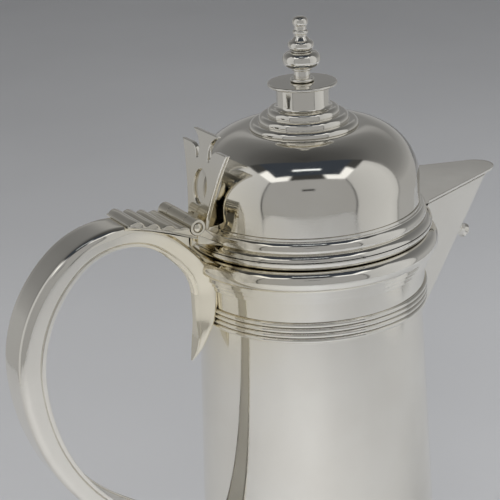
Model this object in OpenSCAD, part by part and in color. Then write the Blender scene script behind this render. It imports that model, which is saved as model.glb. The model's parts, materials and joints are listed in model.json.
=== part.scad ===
// Silver wine flagon with a hinged domed lid, a covered beak spout and a scroll handle.
// Millimetres, +Z up, origin at the centre of the foot on the table.
// The spout points along +X, the handle along -X, and the hinge pin lies along Y.

/* [Body] */
// Height of the vessel's rim above the table
rim_z = 222; // [212:1:232]
// Outer radius of the wall at the rim
wall_top_r = 44.7; // [43:0.1:46.5]
// Outer radius of the wall carried down to the table
wall_base_r = 53.6; // [51:0.1:56]
// Thickness of the wall
wall_t = 1.2; // [1:0.1:1.6]

/* [Foot] */
// Radius of the foot on the table
foot_r = 66; // [64:0.5:70]
// Height of the moulded foot
foot_h = 22; // [19:0.5:26]
// Thickness of the foot's flange
foot_flange_t = 3; // [2.5:0.25:4]
// Radius of the bead round the top of the foot
foot_bead_r = 2.4; // [1.8:0.1:3]
// Height of the bottom plate above the table
base_z = 9; // [6:0.5:12]
// Thickness of the bottom plate
base_t = 1.6; // [1.2:0.1:2.4]

/* [Neck bands] */
// Depth of the reeded band's lowest line below the rim
reed_drop = 34; // [33:0.5:40]
// Number of reeds
reed_count = 4; // [3:1:4]
// Distance from reed to reed
reed_pitch = 2.15; // [1.9:0.05:2.3]
// Radius of one half-round reed
reed_r = 1.05; // [0.8:0.05:1.1]
// Thickness of the bands that are laid on the wall
band_t = 1.2; // [0.9:0.1:1.6]
// Height of the plain band above the reeds
neck_band_h = 8; // [6:0.5:8.5]

/* [Rim] */
// Height of the half-round rim
rim_ring_h = 3.6; // [3:0.1:4]
// How far the rim stands out from the wall
rim_ring_reach = 5.7; // [5:0.1:6.4]
// How far the moulding under the rim stands out from the wall
ovolo_reach = 8.1; // [7:0.1:8.8]
// Radius of the moulding's round
ovolo_round = 4.2; // [3.6:0.1:4.5]
// Height of one fillet under the round
fillet_h = 1.95; // [1.5:0.05:2.1]
// Step back from fillet to fillet
fillet_step = 1.1; // [0.8:0.1:1.3]
// Depth of the first fillet behind the moulding's widest line
fillet_tuck = 2.4; // [2:0.1:2.8]

/* [Spout] */
// Distance of the spout's tip from the axis
spout_tip_x = 91.5; // [88:0.5:95]
// Height of the spout's edge above the rim
spout_lift = 3; // [2.6:0.1:3.4]
// Slope of the keel from the horizontal, in degrees
keel_angle = 58; // [55:1:61]
// Half of the angle between the two cheeks, in degrees
cheek_angle = 23; // [21:0.5:25]
// Radius of the rounded keel
keel_r = 8.6; // [7.8:0.1:9.4]
// Depth of the fine crease where a cheek meets the keel
cheek_tuck = 0.04; // [0.02:0.01:0.08]
// Thickness of the spout's cheeks
spout_t = 1.5; // [1.2:0.1:2]
// Depth of the boss on the keel below the rim
boss_drop = 21; // [17:1:28]
// Radius of the boss where it meets the keel
boss_r = 4.2; // [3.6:0.1:4.8]
// Height of the boss off the keel
boss_h = 4.4; // [3.8:0.1:5]
// Depth of the boss behind the line of the keel
boss_sink = 2.4; // [2.2:0.1:3]
// Radius of the bead in the boss
bead_r = 2.1; // [1.8:0.1:2.4]
// Lip of the boss round the bead
bead_lip = 0.5; // [0.3:0.1:0.8]
// Height of the bead's middle above the boss
bead_rise = 0.8; // [0.6:0.1:1]

/* [Handle] */
// Width of the handle
handle_w = 17; // [15:0.5:19]
// Thickness of the handle
handle_t = 8; // [7:0.25:9]
// Rounding of the handle's outer edges
handle_round = 2.6; // [2:0.1:2.8]
// Depth of the fine crease where the rounding meets the handle's flats
edge_tuck = 0.1; // [0.05:0.05:0.2]
// Thickness of the handle's walls
handle_wall = 1.3; // [1:0.1:1.6]
// Radius of the arch beside the neck, at the middle of the handle
arch_r = 33; // [31:0.5:35]
// Radius of the bow at the back
bow_r = 50; // [46:0.5:54]
// Radius of the long lower sweep
sweep_r = 90; // [84:1:96]
// How far back of its centre the arch runs into the bow, as a share of its radius
arch_share = 0.6; // [0.55:0.05:0.65]
// How far below its centre the lower sweep ends, as a share of its radius
sweep_share = 0.8; // [0.75:0.05:0.85]
// Height of the handle's top above the hinge pin
handle_rise = 4.9; // [4.4:0.1:5.4]
// How far the handle tucks in under the moulding's widest line
handle_tuck = 1.3; // [0.9:0.1:1.7]
// Length of the pointed tail
tail_len = 26; // [22:0.5:30]
// How far the tail's tip leans away from the body
tail_lean = 1.4; // [0.5:0.1:3]
// Width of the tail
tail_w = 6.4; // [5.5:0.1:7.5]
// Thickness of the tail's tip
tail_tip_t = 1.6; // [1.2:0.1:2.2]
// How far the tail swells towards the neck
tail_swell = 2.2; // [1.5:0.1:2.4]
// Depth of the swelling below the arch
tail_swell_drop = 7; // [6:0.5:9]
// Width of the handle's end, above the tail
end_w = 6.4; // [5.5:0.1:7.5]
// Length over which the handle narrows to its end, along X
narrow_len = 18; // [15:0.5:21]
// Width of the saddle between the handle and the neck
seat_w = 6; // [5:0.1:6.2]
// Height of the saddle above the handle's tail
seat_h = 10; // [7:0.5:11]
// Radius of the pad at the lower end
heel_r = 13; // [11.5:0.5:15]
// Thickness of the pad at the lower end
heel_t = 2; // [1.5:0.1:3]

/* [Hinge] */
// Distance of the hinge pin behind the lid's widest line
hinge_setback = 9.3; // [8.9:0.1:9.8]
// Height of the hinge pin above the foot of the dome
hinge_rise = 5; // [4.4:0.1:5.6]
// Outer radius of the barrel
barrel_r = 3.1; // [2.8:0.05:3.3]
// Half length of the barrel
barrel_half = 13.5; // [12:0.5:15]
// Length of the middle knuckle
lid_knuckle_w = 13; // [11:0.5:15]
// Gap between knuckles
knuckle_gap = 0.3; // [0.2:0.05:0.5]
// Radius of the pin
pin_r = 1.3; // [1.1:0.05:1.6]
// Clearance round the pin
pin_clear = 0.05; // [0.03:0.01:0.08]
// Height of the pin's domed ends
pin_head_h = 0.9; // [0.6:0.1:1.2]
// Overlap of the pin's domed ends on the barrel
pin_head_lip = 0.5; // [0.3:0.1:0.8]
// Number of ridges on the hinge block
ridge_count = 4; // [3:1:4]
// Distance from ridge to ridge on the hinge block
ridge_pitch = 5.9; // [5.6:0.1:6.2]
// Radius of one ridge
ridge_r = 3.3; // [3.1:0.1:3.6]
// Height of the first ridge's top above the hinge pin
ridge_rise = 1.2; // [0.8:0.1:1.6]
// Height that each ridge gains on the last
ridge_step = 1.25; // [1:0.05:1.5]
// Half width of the hinge block at its far end
block_tail_w = 8.2; // [7.5:0.1:9]
// Thickness of the strap that carries the ridges on the arch
strap_t = 0.8; // [0.6:0.1:1.2]
// Clearance between the barrel and what turns past it
barrel_clear = 0.4; // [0.3:0.05:0.6]
// Thickness of the lid's tongue under the thumbpiece
leaf_t = 6; // [5:0.25:6.5]
// Half width of the tongue with its wings
leaf_half_w = 12; // [10:0.5:13]
// Fall of the wings from the hinge to the lid
wing_fall = 7.6; // [7:0.1:8.2]
// Thickness of the wings at the lid
wing_t = 3.3; // [2.8:0.1:3.6]
// Depth of the wings below the axis of the hinge
wing_root = 7.1; // [6.8:0.1:7.4]
// Space between the axis of the hinge and the wings, along X
wing_start = 0.5; // [0.3:0.1:0.8]
// Thickness of the web between the tongue and its knuckle
web_t = 1.4; // [1:0.1:2]

/* [Lid] */
// Gap of the seam between lid and rim
seam_gap = 0.3; // [0.2:0.05:0.5]
// Height of the lid's moulded ring
lid_rim_h = 8; // [7.6:0.1:8.8]
// How far the lid's ring stands out from the wall
lid_rim_reach = 3.5; // [3:0.1:4]
// Radius of the ring's round
lid_round = 3.2; // [2.8:0.1:3.4]
// Height of the ring's widest line above the seam
lid_round_z = 3.7; // [3.5:0.1:3.9]
// Height of each fillet under the dome
lid_fillet_h = 1.1; // [0.8:0.1:1.3]
// Step of each fillet under the dome
lid_fillet_step = 0.5; // [0.3:0.1:0.7]
// How far the foot of the dome stands out from the wall
dome_reach = 0.9; // [0.5:0.1:1.3]
// Height of the dome's upright side
dome_wall_h = 8.5; // [7.5:0.5:9.5]
// Radius of the dome's shoulder
dome_round = 23; // [22:0.5:24]
// Thickness of the dome
dome_t = 1.3; // [1:0.1:1.6]
// Clearance of the lid's sleeve in the mouth
bezel_clear = 1.5; // [1.3:0.1:1.9]
// Depth of the lid's sleeve below the seam
bezel_depth = 4.5; // [3:0.5:5]
// Thickness of the lid's sleeve
bezel_t = 1; // [0.8:0.1:1.4]
// Thickness of the plate over the spout
cover_t = 1.6; // [1.2:0.1:2]
// How far the spout's cover stands out past the spout
cover_over = 3; // [2:0.1:4]

/* [Thumbpiece] */
// Distance of the thumbpiece in front of the hinge pin
thumb_x = 7.3; // [6.9:0.1:7.8]
// Lean of the thumbpiece towards the dome, in degrees
thumb_lean = 10.5; // [8:0.5:12]
// Thickness of the thumbpiece
thumb_t = 2; // [1.6:0.1:2.4]
// Height of the thumbpiece
thumb_h = 36; // [34:0.5:38]
// Height of the side lobes
lobe_h = 30.2; // [29:0.1:31]
// Half width across the side lobes
lobe_half_w = 16.9; // [15.5:0.1:18]
// Rounding of the side lobes beside the cuts
lobe_round = 4.8; // [4.2:0.1:5.4]
// Half width of the top lobe
top_half_w = 9; // [8:0.1:10]
// Height of the top lobe's square ends
top_edge_h = 0.6; // [0.4:0.1:1]
// Half width of the neck below the top lobe
thumb_neck_w = 3.6; // [3:0.1:4.2]
// Width of the cuts beside the neck
thumb_cut_w = 1.7; // [1.4:0.1:2]
// Depth of the cuts below the side lobes
thumb_cut_h = 4.2; // [3.6:0.1:4.6]
// Half width of the foot
thumb_foot_w = 7.3; // [6.5:0.1:8]
// Height of the straight foot
thumb_foot_h = 3; // [2:0.5:4]
// Half width of the pierced opening
pierce_half_w = 5; // [4:0.1:5.5]
// Half height of the pierced opening
pierce_half_h = 7; // [6:0.1:7.5]
// Height of the middle of the pierced opening
pierce_mid = 14.6; // [14:0.1:15.5]

/* [Crown and finial] */
// Radius of the lowest roundel
crown_r = 21.8; // [20.5:0.1:23]
// Step from roundel to roundel
crown_step = 3.7; // [3.3:0.1:3.9]
// Height of one roundel
crown_h = 2.7; // [2.4:0.1:3.1]
// Rounding of a roundel's edge
crown_round = 2; // [1.5:0.1:2.2]
// Rise of the lowest roundel above the top of the dome
crown_rise = 2.3; // [1.8:0.1:2.6]
// Radius of the drum
drum_r = 10.6; // [10:0.1:11]
// Height of the drum
drum_h = 8.6; // [7.5:0.1:10]
// Thickness of the drum's wall
drum_t = 1.2; // [0.9:0.1:1.6]
// Radius of the hollow at the foot of the drum
drum_flare = 1.4; // [1:0.1:1.6]
// Radius of the disc
disc_r = 13.9; // [12.5:0.1:15]
// Thickness of the disc
disc_t = 1.4; // [1.1:0.1:1.8]
// Height of the finial above the disc
finial_h = 25.7; // [24.5:0.1:28]
// Radius of the finial's main knop
knop_r = 7.6; // [7:0.1:8.2]
// Radius of the finial's upper knop
upper_knop_r = 5.2; // [4.8:0.1:5.6]
// Radius of the finial's foot
finial_foot_r = 4.8; // [4.4:0.1:5.2]
// Radius of the finial's slender core
finial_core_r = 2.45; // [2.3:0.05:2.6]
// Radius of the finial's button
button_r = 3.1; // [2.9:0.05:3.3]
// Radius of the neck between the finial's foot and its collar
low_neck_r = 3.3; // [3:0.1:3.6]
// Radius of the collar under the main knop
collar_r = 4.2; // [3.9:0.1:4.5]
// Radius of the fillet between the two knops
knop_neck_r = 3.7; // [3.4:0.1:4]
// Rounding of the finial's foot
foot_round = 0.8; // [0.6:0.05:1]
// Height of the collar's middle above the disc
collar_h = 5.15; // [4.9:0.05:5.4]
// Rounding of the collar's edge
collar_round = 0.6; // [0.4:0.05:0.8]
// Height of the main knop's middle above the disc
knop_h = 8.9; // [8.6:0.1:9.2]
// Rounding of the main knop
knop_round = 3.15; // [2.9:0.05:3.3]
// Height of the fillet on the main knop
knop_fillet = 0.4; // [0.3:0.1:0.6]
// Height of the upper knop's middle above the disc
upper_knop_h = 14.5; // [14.2:0.1:14.8]
// Rounding of the upper knop
upper_round = 1.95; // [1.8:0.05:2.1]
// Height of the slope above the upper knop
slope_h = 1.6; // [1.4:0.1:1.8]
// Depth of the slope's foot below the top of the upper knop
slope_tuck = 0.1; // [0.05:0.05:0.2]
// Depth of the bead's middle below the tip
bead_drop = 6.1; // [5.9:0.1:6.3]
// Rounding of the bead
small_bead = 1; // [0.8:0.05:1.1]
// Rounding of the button
button_round = 2.2; // [2:0.05:2.3]
// Radius of the finial's stem
stem_r = 2; // [1.8:0.1:2.2]
// Clearance round the stem
stem_clear = 0.1; // [0.05:0.05:0.2]
// Length of the stem past the nut
stem_end = 1.5; // [1:0.1:2.5]
// Radius of the washer
washer_r = 8; // [7:0.5:9]
// Thickness of the washer
washer_t = 1; // [0.8:0.1:1.4]
// Radius of the nut to its corners
nut_r = 5.5; // [5:0.25:6]
// Thickness of the nut
nut_t = 3.5; // [3:0.25:4.5]

/* [Hidden] */
$fn = 120;
silver = [0.83, 0.82, 0.79];
bright_silver = [0.88, 0.87, 0.85];
shaded_silver = [0.72, 0.71, 0.69];
// A length that reaches past the whole object
far = 400;
// How far a cutting shape runs past the face that it cuts
over = 1;

// Radius of the wall's outer face at a height
wall_slope = (wall_top_r - wall_base_r) / rim_z;
function wall_r(z) = wall_base_r + wall_slope * z;

// Heights and radii of the bands and the rim
shell_z0 = foot_flange_t;
reed_z = rim_z - reed_drop;
reed_top_z = reed_z + reed_count * reed_pitch;
bed_r = wall_r(reed_z) + band_t;
neck_top_z = reed_top_z + neck_band_h;
ovolo_top_z = rim_z - rim_ring_h;
ovolo_z = ovolo_top_z - ovolo_round;
ovolo_r = wall_top_r + ovolo_reach;
rim_ring_r = wall_top_r + rim_ring_reach;

// Heights and radii of the lid
lid_z0 = rim_z + seam_gap;
lid_r = wall_top_r + lid_rim_reach;
dome_z0 = lid_z0 + lid_rim_h;
dome_r = wall_top_r + dome_reach;
dome_top_z = dome_z0 + dome_wall_h + dome_round;
bezel_r = wall_top_r - wall_t - bezel_clear;
spout_edge_z = rim_z + spout_lift;
cover_z0 = spout_edge_z + seam_gap;

// The hinge pin and the top of the lid's tongue
hinge_x = -(lid_r + hinge_setback);
hinge_z = dome_z0 + hinge_rise;
leaf_top_z = hinge_z - barrel_r - barrel_clear;
block_x = hinge_x - barrel_clear;

// Centres of the handle's three arcs, each tangent to the next
arch_out = arch_r + handle_t / 2;
arch_x = -(ovolo_r - handle_tuck) - arch_out;
arch_z = hinge_z + handle_rise - arch_out;
arch_to_bow = [-arch_share, sqrt(1 - arch_share * arch_share)];
bow_to_sweep = [-1, 0];
sweep_to_end = [-sqrt(1 - sweep_share * sweep_share), -sweep_share];
bow_x = arch_x - (bow_r - arch_r) * arch_to_bow[0];
bow_z = arch_z - (bow_r - arch_r) * arch_to_bow[1];
sweep_x = bow_x + sweep_r - bow_r;

// The straight lower end, and where its middle line meets the pad
end_x = sweep_x + sweep_r * sweep_to_end[0];
end_z = bow_z + sweep_r * sweep_to_end[1];
end_turn = acos(sweep_to_end[0]);
heel_way = -(end_x + wall_r(end_z) + heel_t) / (sweep_share + wall_slope * sweep_to_end[0]);
heel_z = end_z + heel_way * sweep_to_end[0];
end_len = heel_way + 2 * handle_t;

// Crown and finial heights
crown_z = dome_top_z + crown_rise;
drum_z = crown_z + 2 * crown_h;
disc_z = drum_z + drum_h;
finial_z = disc_z + disc_t;
washer_z = dome_top_z - dome_t - washer_t;
nut_z = washer_z - nut_t;
bore_r = stem_r + stem_clear;

// The profile's plane from the axis out to the wall's outer face, with the wall moved out by a thickness
module wall_fill(z0, z1, out = 0) {
    polygon([[0, z0], [wall_r(z0) + out, z0], [wall_r(z1) + out, z1], [0, z1]]);
}

// The wall's outer face as a filled solid, carried past the rim
module wall_core(out = 0) {
    rotate([0, 0, 90]) rotate_extrude() wall_fill(0, rim_z + lid_rim_h, out);
}

// A rectangle of the profile's plane from the axis to a radius
module slab(r, z0, z1) {
    translate([0, z0]) square([r, z1 - z0]);
}

// A half-round of the profile's plane whose crest reaches a radius
module bulge(r, z, round_r) {
    translate([r - round_r, z]) circle(round_r);
}

// Moulding under the rim: a bold round above stepped fillets
module ovolo_profile() {
    bulge(ovolo_r, ovolo_z, ovolo_round);
    slab(ovolo_r - ovolo_round, neck_top_z, ovolo_top_z);
    for (i = [0 : 2])
        slab(ovolo_r - fillet_tuck - i * fillet_step, neck_top_z + (2 - i) * fillet_h, ovolo_z);
}

// Half-round rim that the lid closes on
module rim_ring_profile() {
    bulge(rim_ring_r, rim_z - rim_ring_h / 2, rim_ring_h / 2);
    slab(rim_ring_r - rim_ring_h / 2, ovolo_top_z, rim_z);
}

// Row of half-round reeds on a flat bed
module reed_profile() {
    slab(bed_r, reed_z, reed_top_z);
    for (i = [0 : reed_count - 1])
        bulge(bed_r + reed_r, reed_z + (i + 0.5) * reed_pitch, reed_r);
}

// The neck and everything on it, as one filled solid that the saddle and the handle are fitted round
module neck_core() {
    rotate_extrude() {
        wall_fill(0, rim_z);
        reed_profile();
        slab(bed_r, reed_top_z, neck_top_z);
        ovolo_profile();
        rim_ring_profile();
    }
}

// Section of the spout: two straight cheeks on a round keel, moved in by the thickness of the cheeks
module spout_section(inset) {
    round_r = keel_r - inset;
    start_u = (round_r - cheek_tuck) * cos(cheek_angle);
    start_v = keel_r - (round_r - cheek_tuck) * sin(cheek_angle);
    reach_v = spout_tip_x;
    reach_u = start_u + (reach_v - start_v) * tan(cheek_angle);
    translate([0, keel_r]) circle(round_r);
    polygon([[-start_u, start_v], [start_u, start_v], [reach_u, reach_v], [-reach_u, reach_v]]);
}

// The section carried along the slope of the keel, which passes through the spout's tip
module spout_run(inset, tip_z) {
    translate([spout_tip_x, 0, tip_z]) rotate([0, -keel_angle, 0]) rotate([90, 0, 90])
        translate([0, 0, -far / 2]) linear_extrude(far) spout_section(inset);
}

// Space between two heights on the spout's side of the axis
module front_space(z0, z1) {
    translate([0, -far / 2, z0]) cube([far, far, z1 - z0]);
}

module spout_outer() {
    intersection() {
        spout_run(0, spout_edge_z);
        front_space(0, spout_edge_z);
    }
}

module spout_channel() {
    intersection() {
        spout_run(spout_t, spout_edge_z);
        front_space(0, spout_edge_z + over);
    }
}

module body_shell() {
    color(silver) difference() {
        rotate([0, 0, 90]) rotate_extrude() polygon([[wall_r(shell_z0) - wall_t, shell_z0],
            [wall_r(shell_z0), shell_z0], [wall_top_r, rim_z], [wall_top_r - wall_t, rim_z]]);
        spout_channel();
    }
}

module base_plate() {
    top_z = base_z + base_t;
    color(shaded_silver) rotate_extrude() polygon([[0, base_z], [wall_r(base_z) - wall_t, base_z],
        [wall_r(top_z) - wall_t, top_z], [0, top_z]]);
}

// Spreading foot: a flange with a round edge, a hollow sweep, a bead and a narrow fillet
module foot_ring() {
    bead_z = foot_h - 2 * foot_bead_r;
    neck_r = wall_r(bead_z) + foot_bead_r / 2;
    hollow_r = bead_z - foot_bead_r - foot_flange_t;
    color(silver) rotate_extrude() difference() {
        union() {
            slab(foot_r - foot_flange_t / 2, 0, foot_flange_t);
            bulge(foot_r, foot_flange_t / 2, foot_flange_t / 2);
            difference() {
                slab(neck_r + hollow_r, foot_flange_t / 2, foot_flange_t + hollow_r);
                translate([neck_r + hollow_r, foot_flange_t + hollow_r]) circle(hollow_r);
            }
            bulge(neck_r + foot_bead_r, bead_z, foot_bead_r);
            slab(neck_r, foot_flange_t / 2, foot_h);
        }
        wall_fill(shell_z0, foot_h + over);
        slab(wall_r(shell_z0) - wall_t, -over, shell_z0 + over);
    }
}

module reeded_band() {
    color(bright_silver) difference() {
        rotate_extrude() difference() {
            reed_profile();
            wall_fill(reed_z - over, reed_top_z + over);
        }
        spout_outer();
    }
}

module neck_band() {
    color(silver) difference() {
        rotate_extrude() difference() {
            slab(bed_r, reed_top_z, neck_top_z);
            wall_fill(reed_top_z - over, neck_top_z + over);
        }
        spout_outer();
    }
}

module rim_moulding() {
    color(bright_silver) difference() {
        rotate_extrude() difference() {
            ovolo_profile();
            wall_fill(neck_top_z - over, rim_z);
        }
        spout_outer();
    }
}

module rim_ring() {
    color(bright_silver) difference() {
        rotate_extrude() difference() {
            rim_ring_profile();
            wall_fill(ovolo_top_z - over, rim_z + over);
        }
        spout_outer();
    }
}

// Beak spout, cut back where the lid's ring comes down
module spout() {
    color(silver) difference() {
        spout_outer();
        spout_channel();
        wall_core();
        translate([0, 0, rim_z]) cylinder(r = lid_r + 2 * seam_gap, h = lid_rim_h);
    }
}

// Puts a shape on the keel at the boss, with Z pointing out of the spout
module at_boss() {
    back = (spout_lift + boss_drop) / tan(keel_angle);
    translate([spout_tip_x - back, 0, rim_z - boss_drop]) rotate([0, 180 - keel_angle, 0]) children();
}

module bead() {
    at_boss() translate([0, 0, boss_h + bead_rise]) sphere(bead_r);
}

module spout_boss() {
    color(bright_silver) difference() {
        at_boss() translate([0, 0, -boss_sink])
            cylinder(r1 = boss_r, r2 = bead_r + bead_lip, h = boss_h + boss_sink);
        spout_run(0, spout_edge_z);
        bead();
    }
}

module spout_bead() {
    color(bright_silver) bead();
}

// Angle of a direction, from 0 to 360 degrees
function angle_of(way) = (atan2(way[1], way[0]) + 360) % 360;

// Sector of the handle's plane between two directions from an arc's centre
module sector(way_0, way_1) {
    polygon([[0, 0], far * way_0, far * (way_0 + way_1), far * way_1]);
}

// Side view of one of the handle's arcs, between two distances from its middle line
module arc_band(x, z, r, way_0, way_1, low, high) {
    translate([x, z]) intersection() {
        difference() {
            circle(r + high);
            circle(r + low);
        }
        sector(way_0, way_1);
    }
}

// Side view of the whole handle, between two distances from its middle line, carried across a width
module handle_band(low, high, width) {
    rotate([90, 0, 0]) linear_extrude(width, center = true) {
        arc_band(arch_x, arch_z, arch_r, [1, 0], arch_to_bow, low, high);
        arc_band(bow_x, bow_z, bow_r, arch_to_bow, bow_to_sweep, low, high);
        arc_band(sweep_x, bow_z, sweep_r, bow_to_sweep, sweep_to_end, low, high);
        translate([end_x, end_z]) rotate(angle_of(sweep_to_end)) translate([low, 0])
            square([high - low, end_len]);
    }
}

// What is cut from both outer edges of the handle to round them, x outwards and y across
module edge_waste() {
    edge_in = handle_round - edge_tuck;
    for (side = [0, 1])
        mirror([0, side]) translate([handle_t / 2 - edge_in, handle_w / 2 - edge_in]) difference() {
            square(2 * handle_round);
            circle(handle_round);
        }
}

// The waste carried round one of the handle's arcs
module arc_waste(x, z, r, way_0, way_1) {
    translate([x, 0, z]) rotate([90, 0, 0]) intersection() {
        rotate([0, 0, -90]) rotate_extrude() translate([r, 0]) edge_waste();
        linear_extrude(2 * handle_w, center = true) sector(way_0, way_1);
    }
}

// Space between two sides that draw in towards the upper end of the handle
module narrowing(inset) {
    lead_x = arch_x + arch_r - handle_t / 2;
    wide_x = lead_x - narrow_len * (2 * handle_w - end_w) / (handle_w - end_w);
    wide = handle_w - inset;
    narrow = end_w / 2 - inset;
    translate([0, 0, bow_z]) linear_extrude(far)
        polygon([[-far, -wide], [wide_x, -wide], [lead_x, -narrow], [0, -narrow],
            [0, narrow], [lead_x, narrow], [wide_x, wide], [-far, wide]]);
    translate([-far, -wide, bow_z - far]) cube([2 * far, 2 * wide, far]);
}

// Outer channel of the handle, with round edges, narrowed at its end and fitted to the pad
module handle_shell() {
    color(silver) difference() {
        intersection() {
            handle_band(-handle_t / 2, handle_t / 2, handle_w);
            narrowing(0);
        }
        intersection() {
            handle_band(-handle_t, handle_t / 2 - 2 * handle_wall, handle_w - 2 * handle_wall);
            narrowing(handle_wall);
        }
        arc_waste(arch_x, arch_z, arch_r, [1, 0], arch_to_bow);
        arc_waste(bow_x, bow_z, bow_r, arch_to_bow, bow_to_sweep);
        arc_waste(sweep_x, bow_z, sweep_r, bow_to_sweep, sweep_to_end);
        translate([end_x, 0, end_z]) rotate([0, end_turn, 0]) linear_extrude(end_len) edge_waste();
        wall_core(heel_t);
    }
}

module handle_inner_strip() {
    color(bright_silver) difference() {
        intersection() {
            handle_band(-handle_t / 2, handle_wall - handle_t / 2, handle_w - 2 * handle_wall);
            narrowing(handle_wall);
        }
        wall_core(heel_t);
    }
}

// Spur below the arch: it hugs the neck, then its tip turns out, with a narrow width
module handle_tail() {
    start_x = arch_x + arch_out;
    back_x = start_x - handle_t;
    tip_x = back_x - tail_lean;
    tip_z = arch_z - tail_len;
    swell_x = start_x + tail_swell;
    drop = swell_x - tip_x - tail_tip_t;
    run = tail_len - tail_swell_drop;
    tail_r = (run * run + drop * drop) / (2 * drop);
    color(silver) rotate([90, 0, 0]) linear_extrude(tail_w, center = true) intersection() {
        translate([swell_x - tail_r, tip_z + run]) circle(tail_r);
        polygon([[back_x, arch_z], [start_x, arch_z], [swell_x + tail_swell, arch_z - 2 * tail_swell_drop],
            [swell_x + tail_swell, tip_z], [tip_x, tip_z], [back_x, tip_z + run]]);
    }
}

// Saddle between the neck and the handle
module handle_upper_seat() {
    color(silver) difference() {
        translate([arch_x + arch_r, -seat_w / 2, arch_z])
            cube([handle_t + 2 * ovolo_reach, seat_w, seat_h]);
        neck_core();
        translate([arch_x, 0, arch_z]) rotate([90, 0, 0]) cylinder(r = arch_out, h = far, center = true);
    }
}

// Round pad on the wall at the lower end of the handle
module handle_heel_plate() {
    color(silver) difference() {
        intersection() {
            translate([-far / 2, 0, heel_z]) rotate([0, 90, 0]) cylinder(r = heel_r, h = far / 2);
            wall_core(heel_t);
        }
        wall_core();
    }
}

// A bar across the hinge, round its pin
module hinge_bar(r, half_len) {
    translate([hinge_x, 0, hinge_z]) rotate([90, 0, 0]) cylinder(r = r, h = 2 * half_len, center = true);
}

// Stepped block of half-round ridges between the handle's arch and the hinge
module hinge_block() {
    last = ridge_count * ridge_pitch;
    first_z = hinge_z + ridge_rise - ridge_r;
    last_z = first_z + (ridge_count - 1) * ridge_step;
    tail_x = hinge_x - last - ridge_r;
    color(silver) difference() {
        intersection() {
            rotate([90, 0, 0]) linear_extrude(2 * barrel_half, center = true) {
                for (i = [1 : ridge_count])
                    translate([hinge_x - i * ridge_pitch, first_z + (i - 1) * ridge_step]) circle(ridge_r);
                polygon([[block_x, hinge_z - handle_t - ridge_r], [block_x, hinge_z],
                    [hinge_x - last, last_z], [hinge_x - last, hinge_z - handle_t - ridge_r]]);
                intersection() {
                    translate([arch_x, arch_z]) circle(arch_out + strap_t);
                    translate([tail_x, hinge_z - handle_t - ridge_r]) square(block_x - tail_x);
                }
            }
            linear_extrude(far) polygon([[block_x, -barrel_half], [block_x, barrel_half],
                [tail_x, block_tail_w], [tail_x, -block_tail_w]]);
        }
        translate([arch_x, 0, arch_z]) rotate([90, 0, 0]) cylinder(r = arch_out, h = far, center = true);
        hinge_bar(barrel_r, far);
        hinge_bar(barrel_r + barrel_clear, lid_knuckle_w / 2 + knuckle_gap);
    }
}

module outer_knuckles() {
    color(bright_silver) difference() {
        hinge_bar(barrel_r, barrel_half);
        hinge_bar(far, lid_knuckle_w / 2 + knuckle_gap);
        hinge_bar(pin_r + pin_clear, far);
    }
}

// Pin with a shallow domed head at each end of the barrel
module hinge_pin() {
    head_r = pin_r + pin_head_lip;
    head_round = (head_r * head_r + pin_head_h * pin_head_h) / (2 * pin_head_h);
    color(bright_silver) {
        hinge_bar(pin_r, barrel_half);
        for (side = [-1, 1])
            translate([hinge_x, side * barrel_half, hinge_z]) rotate([-90 * side, 0, 0]) intersection() {
                translate([0, 0, pin_head_h - head_round]) sphere(head_round);
                cylinder(r = head_r, h = pin_head_h);
            }
    }
}

// Ring of the lid: a round above the seam and two fillets under the dome
module lid_rim_profile() {
    bulge(lid_r, lid_z0 + lid_round_z, lid_round);
    slab(lid_r - lid_round, lid_z0, dome_z0);
    slab(dome_r + 2 * lid_fillet_step, lid_z0 + lid_round_z, dome_z0 - lid_fillet_h);
    slab(dome_r + lid_fillet_step, lid_z0 + lid_round_z, dome_z0);
}

// Filled profile of the dome: upright side, round shoulder and flat top, moved in by a thickness
module dome_profile(inset) {
    shoulder_z = dome_z0 + dome_wall_h;
    slab(dome_r - inset, dome_z0, shoulder_z);
    slab(dome_r - dome_round, dome_z0, dome_top_z - inset);
    intersection() {
        bulge(dome_r - inset, shoulder_z, dome_round - inset);
        slab(dome_r, dome_z0, dome_top_z);
    }
}

// The lid's ring and dome as one filled solid
module lid_core() {
    rotate_extrude() {
        lid_rim_profile();
        dome_profile(0);
    }
}

module lid_rim() {
    color(bright_silver) rotate_extrude() difference() {
        lid_rim_profile();
        slab(bezel_r, lid_z0 - over, dome_z0 + over);
    }
}

module lid_bezel() {
    color(shaded_silver) rotate_extrude()
        translate([bezel_r - bezel_t, lid_z0 - bezel_depth]) square([bezel_t, bezel_depth + lid_rim_h]);
}

module lid_dome() {
    color(silver) rotate_extrude() difference() {
        dome_profile(0);
        dome_profile(dome_t);
        slab(bore_r, dome_z0, dome_top_z + over);
    }
}

// Plate over the spout, with the spout's own outline
module spout_cover() {
    color(bright_silver) difference() {
        intersection() {
            translate([cover_over, 0, 0]) spout_run(0, cover_z0);
            front_space(cover_z0, cover_z0 + cover_t);
        }
        lid_core();
    }
}

// Three roundels, each with a round edge, fitted to the top of the dome
module crown_mount() {
    color(bright_silver) rotate_extrude() difference() {
        for (i = [0 : 2]) {
            r = crown_r - i * crown_step;
            z = crown_z + i * crown_h;
            slab(r, dome_z0, z - crown_round);
            slab(r - crown_round, dome_z0, z);
            bulge(r, z - crown_round, crown_round);
        }
        dome_profile(0);
        slab(bore_r, dome_z0, drum_z + over);
    }
}

// Short drum with a hollow flare at its foot
module finial_drum() {
    color(silver) rotate_extrude() difference() {
        union() {
            slab(drum_r, drum_z, disc_z);
            difference() {
                slab(drum_r + drum_flare, drum_z, drum_z + drum_flare);
                translate([drum_r + drum_flare, drum_z + drum_flare]) circle(drum_flare);
            }
        }
        slab(drum_r - drum_t, drum_z - over, disc_z + over);
    }
}

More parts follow.
